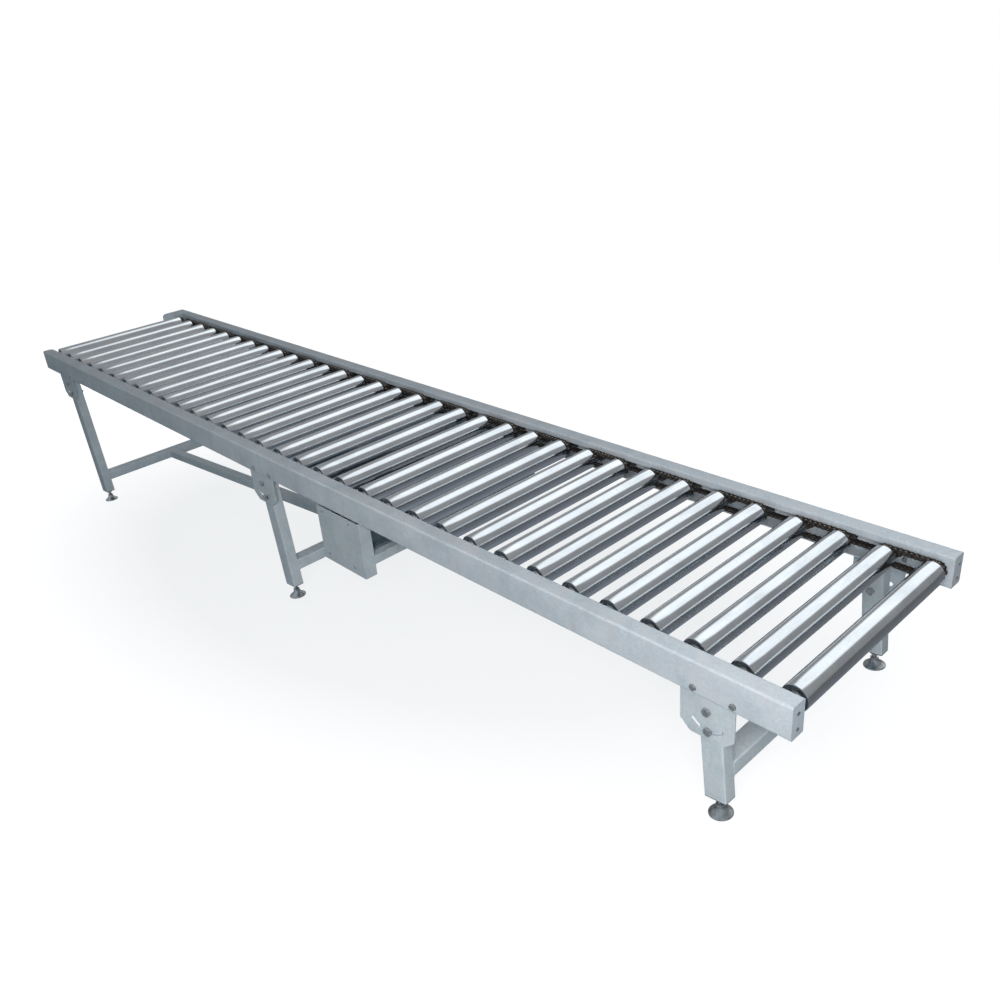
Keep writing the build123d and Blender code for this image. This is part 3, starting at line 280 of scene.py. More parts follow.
# ---------------------------------------------------------------------------
# mesh building
# ---------------------------------------------------------------------------
class Shell:
    """collects closed mesh parts, each face with a material number"""

    def __init__(self):
        self.v, self.f, self.m = [], [], []

    def put(self, verts, faces, mat=0):
        n = len(self.v)
        self.v += [tuple(p) for p in verts]
        self.f += [tuple(i + n for i in q) for q in faces]
        self.m += [mat] * len(faces)

    def lathe(self, profile, seg, frame_, mat=0, closed=False, phase=0.0):
        """profile of (radius, height) in mm about the frame's Z; a closed profile makes a ring"""
        verts, faces, rows = [], [], []
        for r, h in profile:
            if r < 1e-6:
                rows.append([len(verts)])
                verts.append(frame_ @ Vector((0, 0, h / 1000)))
            else:
                row = []
                for i in range(seg):
                    a = 2 * pi * i / seg + phase
                    row.append(len(verts))
                    verts.append(frame_ @ Vector((r * cos(a) / 1000, r * sin(a) / 1000, h / 1000)))
                rows.append(row)
        pairs = list(zip(rows, rows[1:]))
        if closed:
            pairs.append((rows[-1], rows[0]))
        for a, b in pairs:
            if len(a) == 1 and len(b) == 1:
                continue
            for i in range(seg):
                j = (i + 1) % seg
                if len(a) == 1:
                    faces.append((a[0], b[j], b[i]))
                elif len(b) == 1:
                    faces.append((a[i], a[j], b[0]))
                else:
                    faces.append((a[i], a[j], b[j], b[i]))
        self.put(verts, faces, mat)

    def prism(self, outline, h0, h1, frame_, mat=0, cham=0.0, hole=None):
        """outline of (x, y) in mm, from h0 to h1 along the frame's Z, with a small chamfer on both rims"""
        n = len(outline)
        if cham > 0:
            cx = sum(p[0] for p in outline) / n
            cy = sum(p[1] for p in outline) / n

            def inset(d):
                out = []
                for i in range(n):
                    a, b, c = Vector(outline[i - 1]), Vector(outline[i]), Vector(outline[(i + 1) % n])
                    e1, e2 = (b - a), (c - b)
                    if e1.length < 1e-9 or e2.length < 1e-9:
                        out.append(tuple(b)); continue
                    n1 = Vector((-e1.y, e1.x)).normalized()
                    n2 = Vector((-e2.y, e2.x)).normalized()
                    k = (n1 + n2)
                    k = k / max(k.length_squared, 0.3) * 2 if k.length > 1e-6 else n1
                    out.append((b.x + k.x * d, b.y + k.y * d))
                return out

            area = sum(outline[i - 1][0] * outline[i][1] - outline[i][0] * outline[i - 1][1] for i in range(n))
            small = inset(cham if area > 0 else -cham)
            rings = [(small, h0), (outline, h0 + cham), (outline, h1 - cham), (small, h1)]
        else:
            rings = [(outline, h0), (outline, h1)]
        verts, faces = [], []
        for pts, h in rings:
            verts += [frame_ @ Vector((p[0] / 1000, p[1] / 1000, h / 1000)) for p in pts]
        k = len(rings)
        for r in range(k - 1):
            for i in range(n):
                j = (i + 1) % n
                faces.append((r * n + i, r * n + j, (r + 1) * n + j, (r + 1) * n + i))
        if hole is None:
            faces.append(tuple(range(n - 1, -1, -1)))
            faces.append(tuple((k - 1) * n + i for i in range(n)))
            self.put(verts, faces, mat)
        else:
            # the hole has as many points as the outline, so both rims are quads
            base = len(verts)
            for h in (h0, h1):
                verts += [frame_ @ Vector((p[0] / 1000, p[1] / 1000, h / 1000)) for p in hole]
            for i in range(n):
                j = (i + 1) % n
                faces.append((base + i, base + n + i, base + n + j, base + j))
                faces.append((i, base + i, base + j, j))
                faces.append(((k - 1) * n + i, (k - 1) * n + j, base + n + j, base + n + i))
            self.put(verts, faces, mat)

    def mesh(self, name, mats, sharp=32.0):
        me = bpy.data.meshes.new(name)
        me.from_pydata(self.v, [], self.f)
        for m in mats:
            me.materials.append(m)
        me.polygons.foreach_set("material_index", self.m)
        bm = bmesh.new()
        bm.from_mesh(me)
        bmesh.ops.recalc_face_normals(bm, faces=bm.faces)
        bm.to_mesh(me)
        bm.free()
        me.polygons.foreach_set("use_smooth", [True] * len(me.polygons))
        me.set_sharp_from_angle(angle=radians(sharp))
        me.update()
        return me


def place(name, mesh, body, replaces=(), at=None):
    o = bpy.data.objects.new(name, mesh)
    SCENE.collection.objects.link(o)
    if at is not None:
        o.matrix_world = at
    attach(o, body)
    if replaces:
        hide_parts(*replaces)
    return o


def bevelled(o, width_mm, segments=2, angle=28.0):
    m = o.modifiers.new("edges", "BEVEL")
    m.width = width_mm / 1000
    m.segments = segments
    m.limit_method = "ANGLE"
    m.angle_limit = radians(angle)
    m.harden_normals = True
    m.use_clamp_overlap = True
    m.miter_outer = "MITER_ARC"
    return m


def from_cad(node, name, body, mats, width=0.5, segments=2, angle=28.0, assign=None, seg_sharp=34.0):
    """a cleaned copy of a sheet or box shape with real edge radii"""
    me = NODES[node].data.copy()
    me.name = name
    bm = bmesh.new()
    bm.from_mesh(me)
    bmesh.ops.remove_doubles(bm, verts=bm.verts, dist=1e-6)
    bmesh.ops.dissolve_limit(bm, angle_limit=radians(0.4), verts=bm.verts, edges=bm.edges, use_dissolve_boundaries=False)
    bmesh.ops.recalc_face_normals(bm, faces=bm.faces)
    bm.to_mesh(me)
    bm.free()
    me.materials.clear()
    for m in mats:
        me.materials.append(m)
    if "custom_normal" in me.attributes:
        me.attributes.remove(me.attributes["custom_normal"])
    me.polygons.foreach_set("use_smooth", [True] * len(me.polygons))
    me.set_sharp_from_angle(angle=radians(seg_sharp))
    if assign is not None:
        for p in me.polygons:
            p.material_index = assign(p.center)
    else:
        me.polygons.foreach_set("material_index", [0] * len(me.polygons))
    me.update()
    o = place(name, me, body, (node,))
    if width > 0:
        bevelled(o, width, segments, angle)
    return o


def axis_frame(origin, z, x=None):
    """a frame at a point in metres with its Z along z"""
    z = Vector(z).normalized()
    x = Vector(x) if x is not None else (Vector((1, 0, 0)) if abs(z.x) < 0.9 else Vector((0, 1, 0)))
    x = (x - z * x.dot(z)).normalized()
    y = z.cross(x)
    return Matrix(((x.x, y.x, z.x, origin[0]), (x.y, y.y, z.y, origin[1]), (x.z, y.z, z.z, origin[2]), (0, 0, 0, 1)))


def sprocket_outline(teeth, phase_deg, samples=7):
    """tooth profile: round seats for the chain rollers, flanks, rounded tips"""
    rp = CHAIN_P / 2 / sin(pi / teeth)
    tip = CHAIN_P / 2 * (0.6 + 1 / tan(pi / teeth))
    rs = 4.28
    pts = []
    for i in range(teeth):
        c = radians(phase_deg) + 2 * pi * i / teeth
        # one seat, from its right flank to its left flank
        seat = []
        half = pi / teeth
        for k in range(-samples, samples + 1):
            a = k / samples * radians(62)
            # seat arc centred on the pin, opening outwards
            px, py = rp - rs * cos(a), rs * sin(a)
            seat.append((px, py))
        flank_r = tip - 0.8
        fl = half * 0.64
        row = [(flank_r * cos(-fl), flank_r * sin(-fl))] + seat + [(flank_r * cos(fl), flank_r * sin(fl))]
        row += [(tip * cos(half * 0.86), tip * sin(half * 0.86)), (tip * cos(half * 1.14), tip * sin(half * 1.14))]
        for x, y in row:
            pts.append((x * cos(c) - y * sin(c), x * sin(c) + y * cos(c)))
    return pts


def hex_ring(af, seg=48, chamfer_r=None):
    out = []
    for i in range(seg):
        a = 2 * pi * i / seg
        s = (a + pi / 6) % (pi / 3) - pi / 6
        r = af / 2 / cos(s)
        if chamfer_r:
            r = min(r, chamfer_r)
        out.append((r * cos(a), r * sin(a)))
    return out


def hex_part(sh, fr, af, h0, h1, mat=0, both=False, bore=None, turn=0.0, dome=0.0):
    """a hexagon head or nut with its corners chamfered round, between two heights along the frame"""
    fr = fr @ Matrix.Rotation(turn, 4, "Z")
    seg = 36
    rings = []
    c = af * 0.055
    if both:
        rings += [(hex_ring(af, seg, af / 2 * 0.97), h0), (hex_ring(af, seg, af / 2 * 1.06), h0 + c * 0.55), (hex_ring(af, seg), h0 + c * 1.6)]
    else:
        rings += [(hex_ring(af, seg), h0)]
    rings += [(hex_ring(af, seg), h1 - c * 1.6), (hex_ring(af, seg, af / 2 * 1.06), h1 - c * 0.55), (hex_ring(af, seg, af / 2 * 0.97), h1)]
    verts, faces = [], []
    for pts, h in rings:
        verts += [fr @ Vector((p[0] / 1000, p[1] / 1000, h / 1000)) for p in pts]
    n = seg
    for r in range(len(rings) - 1):
        for i in range(n):
            j = (i + 1) % n
            faces.append((r * n + i, r * n + j, (r + 1) * n + j, (r + 1) * n + i))
    last = (len(rings) - 1) * n
    if bore is None:
        faces.append(tuple(range(n - 1, -1, -1)))
        if dome > 0:
            k = len(verts)
            for q, hh in ((0.86, 0.0), (0.80, -dome)):
                verts += [fr @ Vector((af / 2 * q * cos(2 * pi * i / n) / 1000, af / 2 * q * sin(2 * pi * i / n) / 1000, (h1 + hh) / 1000)) for i in range(n)]
            for a0, b0 in ((last, k), (k, k + n)):
                for i in range(n):
                    j = (i + 1) % n
                    faces.append((a0 + i, a0 + j, b0 + j, b0 + i))
            faces.append(tuple(k + n + i for i in range(n)))
        else:
            faces.append(tuple(last + i for i in range(n)))
    else:
        k = len(verts)
        for rr, h in ((bore + 0.9, h0), (bore, h0 + 0.9), (bore, h1 - 0.9), (bore + 0.9, h1)):
            verts += [fr @ Vector((rr * cos(2 * pi * i / n) / 1000, rr * sin(2 * pi * i / n) / 1000, h / 1000)) for i in range(n)]
        for a0, b0 in ((k, 0), (k + n, k), (k + 2 * n, k + n), (k + 3 * n, k + 2 * n), (last, k + 3 * n)):
            for i in range(n):
                j = (i + 1) % n
                faces.append((a0 + i, a0 + j, b0 + j, b0 + i))
    sh.put(verts, faces, mat)


def thread(sh, fr, r, pitch, h0, h1, mat=0, seg=28, core=None):
    """a screw thread with a true helix, closed at both ends"""
    depth = pitch * 0.58
    steps = max(8, int((h1 - h0) / pitch * 5))
    verts, faces = [], []
    for k in range(steps + 1):
        h = h0 + (h1 - h0) * k / steps
        fade = min(1.0, (h - h0) / 0.8, (h1 - h) / 0.8)
        for i in range(seg):
            a = 2 * pi * i / seg
            ph = (h / pitch - i / seg) % 1.0
            tri = abs(ph - 0.5) * 2
            tri = max(0.0, min(1.0, (tri - 0.12) / 0.76))
            rr = r - depth * tri - (0.9 - 0.9 * max(fade, 0.0))
            verts.append(fr @ Vector((rr * cos(a) / 1000, rr * sin(a) / 1000, h / 1000)))
    for k in range(steps):
        for i in range(seg):
            j = (i + 1) % seg
            faces.append((k * seg + i, k * seg + j, (k + 1) * seg + j, (k + 1) * seg + i))
    faces.append(tuple(range(seg - 1, -1, -1)))
    faces.append(tuple(steps * seg + i for i in range(seg)))
    sh.put(verts, faces, mat)


def washer(sh, fr, r_out, r_in, h0, h1, mat=0, seg=36):
    c = 0.25
    sh.lathe([(r_in, h0), (r_out - c, h0), (r_out, h0 + c), (r_out, h1 - c), (r_out - c, h1), (r_in, h1)], seg, fr, mat, closed=True)


# ---------------------------------------------------------------------------
# rollers: a plated tube with rolled rims on pressed bearing cups.  The tube
# lies along its own Y at its axis, so each turns with its body.
# ---------------------------------------------------------------------------
def roller_mesh(driven):
    s = Shell()
    # local frame: Z of the lathe along +Y, heights are v - 360
    fr = Matrix(((0, 1, 0, 0), (0, 0, 1, 0), (1, 0, 0, 0), (0, 0, 0, 1)))
    v = lambda q: q - HALF
    R = 30.0
    rim = [(27.45, v(61.4)), (27.55, v(60.5)), (27.9, v(60.12)), (28.6, v(60.0)), (29.3, v(60.12)), (29.8, v(60.55)), (30.0, v(61.3))]
    outer = [(R, v(61.3) + (v(634.7) - v(61.3)) * i / 12) for i in range(1, 12)]
    far_rim = [(30.0, v(634.7)), (29.8, v(635.45)), (29.3, v(635.88)), (28.6, v(636.0)), (27.9, v(635.88)), (27.55, v(635.5)), (27.45, v(634.6))]
    s.lathe(rim + outer + far_rim, 72, fr, 0, closed=True)
    # near cup: flat land, stepped dish, bearing face
    cup = [(27.42, v(60.9)), (27.0, v(60.35)), (25.9, v(60.2)), (25.0, v(60.5)), (24.3, v(61.5)), (23.9, v(62.8)), (23.2, v(63.4)),
           (17.0, v(63.4)), (16.2, v(63.0)), (15.6, v(61.8)), (15.0, v(60.0)), (14.3, v(59.1)), (13.4, v(58.75)),
           (12.3, v(58.75)), (12.0, v(59.3)), (12.0, v(80.0)), (27.42, v(80.0))]
    s.lathe(cup, 56, fr, 1, closed=True)
    # bearing: outer ring, seal, inner ring
    s.lathe([(11.95, v(59.2)), (11.4, v(58.95)), (10.9, v(59.15)), (10.9, v(70)), (11.95, v(70))], 48, fr, 1, closed=True)
    s.lathe([(10.85, v(59.5)), (9.9, v(59.75)), (8.6, v(59.5)), (8.6, v(66)), (10.85, v(66))], 48, fr, 2, closed=True)
    s.lathe([(8.55, v(59.1)), (8.2, v(58.8)), (6.6, v(58.8)), (6.12, v(59.2)), (6.12, v(78)), (8.55, v(78))], 48, fr, 1, closed=True)
    # far cup
    cup2 = [(27.42, v(635.2)), (27.0, v(635.7)), (25.9, v(635.85)), (25.0, v(635.5)), (24.4, v(634.5)), (23.6, v(634.0)),
            (18.4, v(634.0)), (17.8, v(634.6)), (17.2, v(636.0)), (16.4, v(636.8)), (15.2, v(637.0)), (6.12, v(637.0)), (6.12, v(616)), (27.42, v(616))]
    s.lathe(cup2, 56, fr, 1, closed=True)
    # double sprocket on one hub
    hub = [(6.12, v(637.0)), (14.3, v(637.0)), (14.5, v(637.4)), (14.5, v(645.9)), (14.5, v(654.6)), (14.5, v(656.2)), (14.0, v(656.6)),
           (8.5, v(656.6)), (8.5, v(688.0)), (8.5, v(701.2)), (8.1, v(701.6)), (6.12, v(701.6))]
    s.lathe(hub, 40, fr, 3, closed=True)
    for row in (650.0, 692.0):
        tooth_plate(s, fr, 10, 0.0, v(row), 3)
    if driven:
        ang = atan2(AXIS_W - DRIVE_W, DRIVEN_U - DRIVE_U)
        tooth_plate(s, fr, 10, math.degrees(ang), v(24.0), 3)
        s.lathe([(6.12, v(14.2)), (8.1, v(14.2)), (8.5, v(14.6)), (8.5, v(57.8)), (8.1, v(58.3)), (6.12, v(58.3))], 40, fr, 3, closed=True)
    return s.mesh("roller_mesh", [MAT_TUBE, MAT_CUP, MAT_SEAL, MAT_SPROCKET], 30)


def tooth_plate(s, fr, teeth, phase, mid, mat, width=7.0):
    """a toothed disc with bevelled tooth sides.  The phase is the angle from +u towards +w."""
    pts_uw = sprocket_outline(teeth, phase)
    rp = CHAIN_P / 2 / sin(pi / teeth)
    # lathe frame: local x is bed w, local y is bed u
    def ring(k, dx):
        out = []
        for a, b in pts_uw:
            r = sqrt(a * a + b * b)
            q = max(r - dx, 0.0) / r if r > rp - 2 else 1.0
            out.append((b * q, a * q))
        return out
    n = len(pts_uw)
    hgt = width / 2
    layers = [(ring(0, 2.2), mid - hgt + 0.0), (ring(0, 0.0), mid - hgt + 1.6), (ring(0, 0.0), mid + hgt - 1.6), (ring(0, 2.2), mid + hgt)]
    verts, faces = [], []
    for pts, h in layers:
        verts += [fr @ Vector((p[0] / 1000, p[1] / 1000, h / 1000)) for p in pts]
    for r in range(len(layers) - 1):
        for i in range(n):
            j = (i + 1) % n
            faces.append((r * n + i, r * n + j, (r + 1) * n + j, (r + 1) * n + i))
    c = len(verts)
    verts.append(fr @ Vector((0, 0, (mid - hgt) / 1000)))
    verts.append(fr @ Vector((0, 0, (mid + hgt) / 1000)))
    for i in range(n):
        j = (i + 1) % n
        faces.append((c, j, i))
        faces.append((c + 1, 3 * n + i, 3 * n + j))
    s.put(verts, faces, mat)


plain_roller, driven_roller = roller_mesh(False), roller_mesh(True)
for k in range(N_ROLL):
    name = "roller_%02d" % (k + 1)
    p = Vector(JOINT[name + "_spin"]["pos_m"])
    # local x is bed u, local y is across, local z is bed w
    at = Matrix(((U.x, 0, W.x, p.x), (0, 1, 0, 0), (U.z, 0, W.z, p.z), (0, 0, 0, 1)))
    place(name + "_made", driven_roller if k == 13 else plain_roller, name + "_turning", (name,), at)


# ---------------------------------------------------------------------------
# chains: real half-inch links along each loop's pins
# ---------------------------------------------------------------------------
def link_outline(r, waist):
    pts = [(6.35 + r * cos(radians(a)), r * sin(radians(a))) for a in range(-96, 97, 24)]
    pts += [(2.6, waist + 0.45), (0.0, waist), (-2.6, waist + 0.45)]
    pts += [(-6.35 + r * cos(radians(a)), r * sin(radians(a))) for a in range(84, 277, 24)]
    pts += [(-2.6, -waist - 0.45), (0.0, -waist), (2.6, -waist - 0.45)]
    return pts


INNER_PLATE, OUTER_PLATE = link_outline(5.75, 4.5), link_outline(5.3, 3.9)


def chain_loop(s, pins, v_mid, start=0):
    """pins is a closed run of (u, w) in mm; links alternate inner and outer"""
    n = len(pins)
    for i in range(n):
        a, b = Vector(pins[i]), Vector(pins[(i + 1) % n])
        mid, d = (a + b) / 2, (b - a).normalized()
        x_dir = U * d.x + W * d.y
        fr = axis_frame(bed(mid.x, v_mid, mid.y), Y, x_dir)
        fp = axis_frame(bed(a.x, v_mid, a.y), Y, U)
        inner = (i + start) % 2 == 0
        lo, hi, shape = (3.95, 5.4, INNER_PLATE) if inner else (5.5, 6.95, OUTER_PLATE)
        for sgn in (-1, 1):
            h = sorted((sgn * lo, sgn * hi))
            s.prism(shape, h[0], h[1], fr, 0)
        s.lathe([(0, -3.9), (4.22, -3.9), (4.22, 3.9), (0, 3.9)], 12, fp, 1)
        s.lathe([(0, -8.0), (1.7, -8.0), (2.2, -7.5), (2.2, 7.5), (1.7, 8.0), (0, 8.0)], 10, fp, 1)


for row_name, row_v, first in (("a", 650.0, 0), ("b", 692.0, 1)):
    s = Shell()
    for k in range(first, N_ROLL - 1, 2):
        cu = -k * PITCH
        cl = cu - PITCH
        pins = [(cu + R_SMALL * cos(radians(a)), AXIS_W + R_SMALL * sin(radians(a))) for a in (-72, -36, 0, 36, 72)]
        pins += [(cu + 6.35 - CHAIN_P * i, AXIS_W + STRAND) for i in range(1, 10)]
        pins += [(cl + R_SMALL * cos(radians(a)), AXIS_W + R_SMALL * sin(radians(a))) for a in (108, 144, 180, 216, 252)]
        pins += [(cl - 6.35 + CHAIN_P * i, AXIS_W - STRAND) for i in range(1, 10)]
        chain_loop(s, pins, row_v, k // 2 % 2)
    place("roller_chain_row_" + row_name, s.mesh("chain_row_" + row_name, [MAT_CHAIN, MAT_PIN], 40), "bed", ("roller_chains",))

ang = atan2(AXIS_W - DRIVE_W, DRIVEN_U - DRIVE_U)
ex, ey = Vector((cos(ang), sin(ang))), Vector((-sin(ang), cos(ang)))
span = (Vector((DRIVEN_U, AXIS_W)) - Vector((DRIVE_U, DRIVE_W))).length
c0 = Vector((DRIVE_U, DRIVE_W))


def at_line(x, y):
    q = c0 + ex * x + ey * y
    return (q.x, q.y)


pins = [at_line(R_BIG * cos(radians(a)), R_BIG * sin(radians(a))) for a in [90 + 22.5 * i for i in range(9)]]
small_lo = (span + R_SMALL * cos(radians(-72)), R_SMALL * sin(radians(-72)))
small_hi = (span + R_SMALL * cos(radians(72)), R_SMALL * sin(radians(72)))
pins += [at_line(small_lo[0] * i / 11, -R_BIG + (small_lo[1] + R_BIG) * i / 11) for i in range(1, 11)]
pins += [at_line(span + R_SMALL * cos(radians(a)), R_SMALL * sin(radians(a))) for a in (-72, -36, 0, 36, 72)]
pins += [at_line(small_hi[0] * (11 - i) / 11, R_BIG + (small_hi[1] - R_BIG) * (11 - i) / 11) for i in range(1, 11)]
s = Shell()
chain_loop(s, pins, 24.0)
place("drive_chain_made", s.mesh("drive_chain", [MAT_CHAIN, MAT_PIN], 40), "bed", ("drive_chain",))

# drive sprocket on its shaft, with keyway and set screw
fr_d = axis_frame(DRV - Y * DRV.y - Y * (HALF / 1000), Y, W)      # x along w, z across, height v from the rail's outer face
fr_d = Matrix(((W.x, U.x, 0, fr_d[0][3]), (0, 0, 1, fr_d[1][3]), (W.z, U.z, 0, fr_d[2][3]), (0, 0, 0, 1)))
s = Shell()
tooth_plate(s, fr_d, 16, math.degrees(ang) + 180.0, 24.0, 0)
s.lathe([(12.6, 12.2), (19.4, 12.2), (20.0, 12.9), (20.0, 39.3), (19.4, 40.0), (12.6, 40.0)], 56, fr_d, 0, closed=True)
s.lathe([(0, 10.6), (11.2, 10.6), (12.5, 12.0), (12.5, 150.0), (0, 150.0)], 40, fr_d, 1)
s.lathe([(12.6, 90.0), (39.2, 90.0), (40.0, 90.8), (40.0, 124.2), (39.2, 125.0), (12.6, 125.0)], 64, fr_d, 0, closed=True)
fr_key = fr_d @ Matrix.Translation((0.0125, 0, 0))
s.prism([(-2, -3), (1.4, -3), (1.4, 3), (-2, 3)], 10.9, 38.0, fr_key, 1, 0.3)
fr_set = fr_d @ Matrix.Translation((0, 0, 0.034)) @ Matrix.Rotation(radians(90), 4, "Y") @ Matrix.Rotation(0, 4, "Z")
s.lathe([(1.6, 19.2), (1.6, 19.9), (2.9, 20.3), (3.0, 19.0), (1.6, 19.0)], 16, fr_set, 1, closed=True)
place("drive_sprocket_made", s.mesh("drive_sprocket", [MAT_SPROCKET, MAT_AXLE], 30), "drive_shaft", ("drive_sprocket",))

# roller axles: drawn bars with turned ends
s = Shell()
for k in range(N_ROLL):
    fr = axis_frame(bed(-k * PITCH, 0, AXIS_W), Y, W)
    s.lathe([(0, 3.5), (5.1, 3.5), (6.0, 4.4), (6.0, 12.4), (5.7, 12.7), (5.7, 14.0), (6.0, 14.3),
             (6.0, 705.7), (5.7, 706.0), (5.7, 707.3), (6.0, 707.6), (6.0, 715.6), (5.1, 716.5), (0, 716.5)], 28, fr, 0)
place("roller_axles_made", s.mesh("roller_axles", [MAT_AXLE], 30), "bed", ("roller_axles",))

# ---------------------------------------------------------------------------
# sheet and box-section parts
# ---------------------------------------------------------------------------
def on_bar(c):
    u, v, w = bed_of(c)
    return 1 if -50.6 < w < -11.4 and (3.01 < v < 11.3 or 708.7 < v < 716.99) else 0


from_cad("side_rail_near", "side_rail_near_made", "bed", [MAT_RAIL, MAT_RAIL], 0.45, 2, 30, on_bar)
from_cad("side_rail_far", "side_rail_far_made", "bed", [MAT_RAIL, MAT_RAIL], 0.45, 2, 30, on_bar)
from_cad("rail_end_caps", "rail_end_caps_made", "bed", [MAT_RAIL], 0.7, 3, 30)
from_cad("chain_end_guard", "chain_end_guard_made", "bed", [MAT_BOX], 0.7, 3, 30)
from_cad("leg_brackets", "leg_brackets_made", "bed", [MAT_LEG], 0.5, 2, 30)
from_cad("chain_guard_box", "chain_guard_box_made", "bed", [MAT_BOX], 0.4, 2, 30)
from_cad("chain_guard_cover", "chain_guard_cover_made", "bed", [MAT_BOX], 0.5, 2, 30)
from_cad("motor_tray", "motor_tray_made", "bed", [MAT_BOX], 0.5, 2, 30)
from_cad("gearmotor", "gearmotor_made", "bed", [MAT_MOTOR], 0.8, 2, 30)
from_cad("longitudinal_tie", "longitudinal_tie_made", "bed", [MAT_LEG], 0.3, 2, 30)


def plug_part(c):
    return 1 if c.z < 0.0482 else 0


for node, body in (("right_leg_frame", "right_leg"), ("mid_leg_frame", "bed"), ("left_leg_frame", "bed")):
    from_cad(node, node + "_made", body, [MAT_LEG, MAT_PLASTIC], 0.3, 2, 30, plug_part)

# weld beads where each brace meets its legs
def weld(s, path, r, mat=0, seed=1):
    """a rippled fillet bead along a closed path of points in metres"""
    rnd = random.Random(seed)
    pts = []
    n = len(path)
    for i in range(n):
        a, b = Vector(path[i]), Vector(path[(i + 1) % n])
        m = max(1, int((b - a).length * 1000 / 1.1))
        for k in range(m):
            pts.append(a + (b - a) * k / m)
    n = len(pts)
    verts, faces = [], []
    seg = 8
    centre = sum(pts, Vector()) / n
    nrm = (pts[n // 3] - pts[0]).cross(pts[2 * n // 3] - pts[0]).normalized()
    for i in range(n):
        t = (pts[(i + 1) % n] - pts[i - 1]).normalized()
        side = nrm
        out = t.cross(side).normalized()
        if out.dot(pts[i] - centre) < 0:
            out = -out
        rr = r * (0.88 + 0.14 * abs(sin(i * 1.25)) + rnd.uniform(-0.05, 0.05))
        for k in range(seg):
            a = 2 * pi * k / seg
            verts.append(pts[i] + (side * cos(a) + out * sin(a)) * (rr / 1000))
    for i in range(n):
        j = (i + 1) % n
        for k in range(seg):
            q = (k + 1) % seg
            faces.append((i * seg + k, i * seg + q, j * seg + q, j * seg + k))
    s.put(verts, faces, mat)


BRACE_Z = 0.116
LEG_AXES = []
for node, body in (("right_leg_frame", "right_leg"), ("mid_leg_frame", "bed"), ("left_leg_frame", "bed")):
    lo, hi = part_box(node)
    xm = (lo.x + hi.x) / 2
    LEG_AXES.append((xm - 0.003, hi.z - 0.011, body, node))
    s = Shell()
    for sgn in (-1, 1):
        yf = sgn * (0.36 - 0.0433)
        hx, hz = 0.0255, 0.0166
        loop = [(xm - hx, yf, BRACE_Z - hz), (xm + hx, yf, BRACE_Z - hz), (xm + hx, yf, BRACE_Z + hz), (xm - hx, yf, BRACE_Z + hz)]
        weld(s, loop, 2.0, 0, 3 + sgn)
    place(node + "_welds", s.mesh(node + "_welds", [MAT_LEG], 60), body, ())

# ---------------------------------------------------------------------------
# fasteners
# ---------------------------------------------------------------------------
LEG_FRAME = {}
for xm, pz, body, node in LEG_AXES:
    LEG_FRAME[node] = (xm, pz, body)


def bolt_set(s, x, z, r, af, side, seed):
    """hex bolt from outside, washer under its head, washer and nut inboard of the leg.  Side is -1 near, +1 far."""
    rnd = random.Random(seed)
    # heights are v for the near side, mirrored for the far side
    fr = axis_frame(Vector((x, side * 0.36, z)), Vector((0, -side, 0)), Vector((1, 0, 0)))
    hex_part(s, fr @ Matrix.Rotation(pi, 4, "X"), af, -1.3, 3.7, 0, turn=rnd.uniform(0, 1.0), dome=0.35)
    washer(s, fr, af / 2 * 1.14, r + 0.2, 1.35, 2.8, 1)
    fr2 = fr
    s.lathe([(0, 2.0), (r - 0.05, 2.0), (r - 0.05, 43.6), (0, 43.6)], 24, fr2, 0)
    washer(s, fr2, af / 2 * 1.1, r + 0.2, 43.5, 44.9, 1)
    hex_part(s, fr2, af, 45.0, 51.4, 0, both=True, bore=r - 0.3, turn=rnd.uniform(0, 1.0))
    thread(s, fr2, r - 0.05, 1.5, 44.0, 54.4, 0, 24)


def leg_bolts(names, locks_only=False, pivots=True, locks=True):
    s = Shell()
    for i, node in enumerate(names):
        xm, pz, _b = LEG_FRAME[node]
        for side in (-1, 1):
            if pivots:
                bolt_set(s, xm, pz, 5.0, 17.0, side, 7 * i + side)
            if locks:
                bolt_set(s, xm, pz - 0.048, 5.0, 17.0, side, 11 * i + side + 40)
    return s


s = leg_bolts(["mid_leg_frame", "left_leg_frame"])
xm, pz, _b = LEG_FRAME["right_leg_frame"]
for side in (-1, 1):
    bolt_set(s, xm, pz, 5.0, 17.0, side, 60 + side)
place("leg_bolts_made", s.mesh("leg_bolts", [MAT_BOLT, MAT_CUP], 32), "bed", ("leg_bolts",))
s = Shell()
for side in (-1, 1):
    bolt_set(s, xm, pz - 0.048, 5.0, 17.0, side, 70 + side)
place("right_lock_bolts_made", s.mesh("right_lock_bolts", [MAT_BOLT, MAT_CUP], 32), "right_leg", ("right_lock_bolts",))

s = Shell()
for i, (node, (xm, pz, _b)) in enumerate(LEG_FRAME.items()):
    pu = bed_of(Vector((xm, 0, pz)))[0]
    for k, du in enumerate((-33.0, 61.0)):
        for side in (0, 1):
            rnd = random.Random(i * 9 + k * 3 + side)
            if side == 0:
                fr = axis_frame(bed(pu + du, 0, -64.0), Y, U)
            else:
                fr = axis_frame(bed(pu + du, 720, -64.0), -Y, U)
            hex_part(s, fr @ Matrix.Rotation(pi, 4, "X"), 13.0, 0.9, 4.45, 0, turn=rnd.uniform(0, 1), dome=0.3)
            washer(s, fr @ Matrix.Rotation(pi, 4, "X"), 8.0, 4.2, 0.0, 0.95, 1)
            s.lathe([(0, -1.0), (3.95, -1.0), (3.95, 7.2), (0, 7.2)], 20, fr, 0)
            hex_part(s, fr, 13.0, 7.1, 13.4, 0, both=True, bore=3.8, turn=rnd.uniform(0, 1))
            thread(s, fr, 3.95, 1.25, 7.0, 17.9, 0, 20)
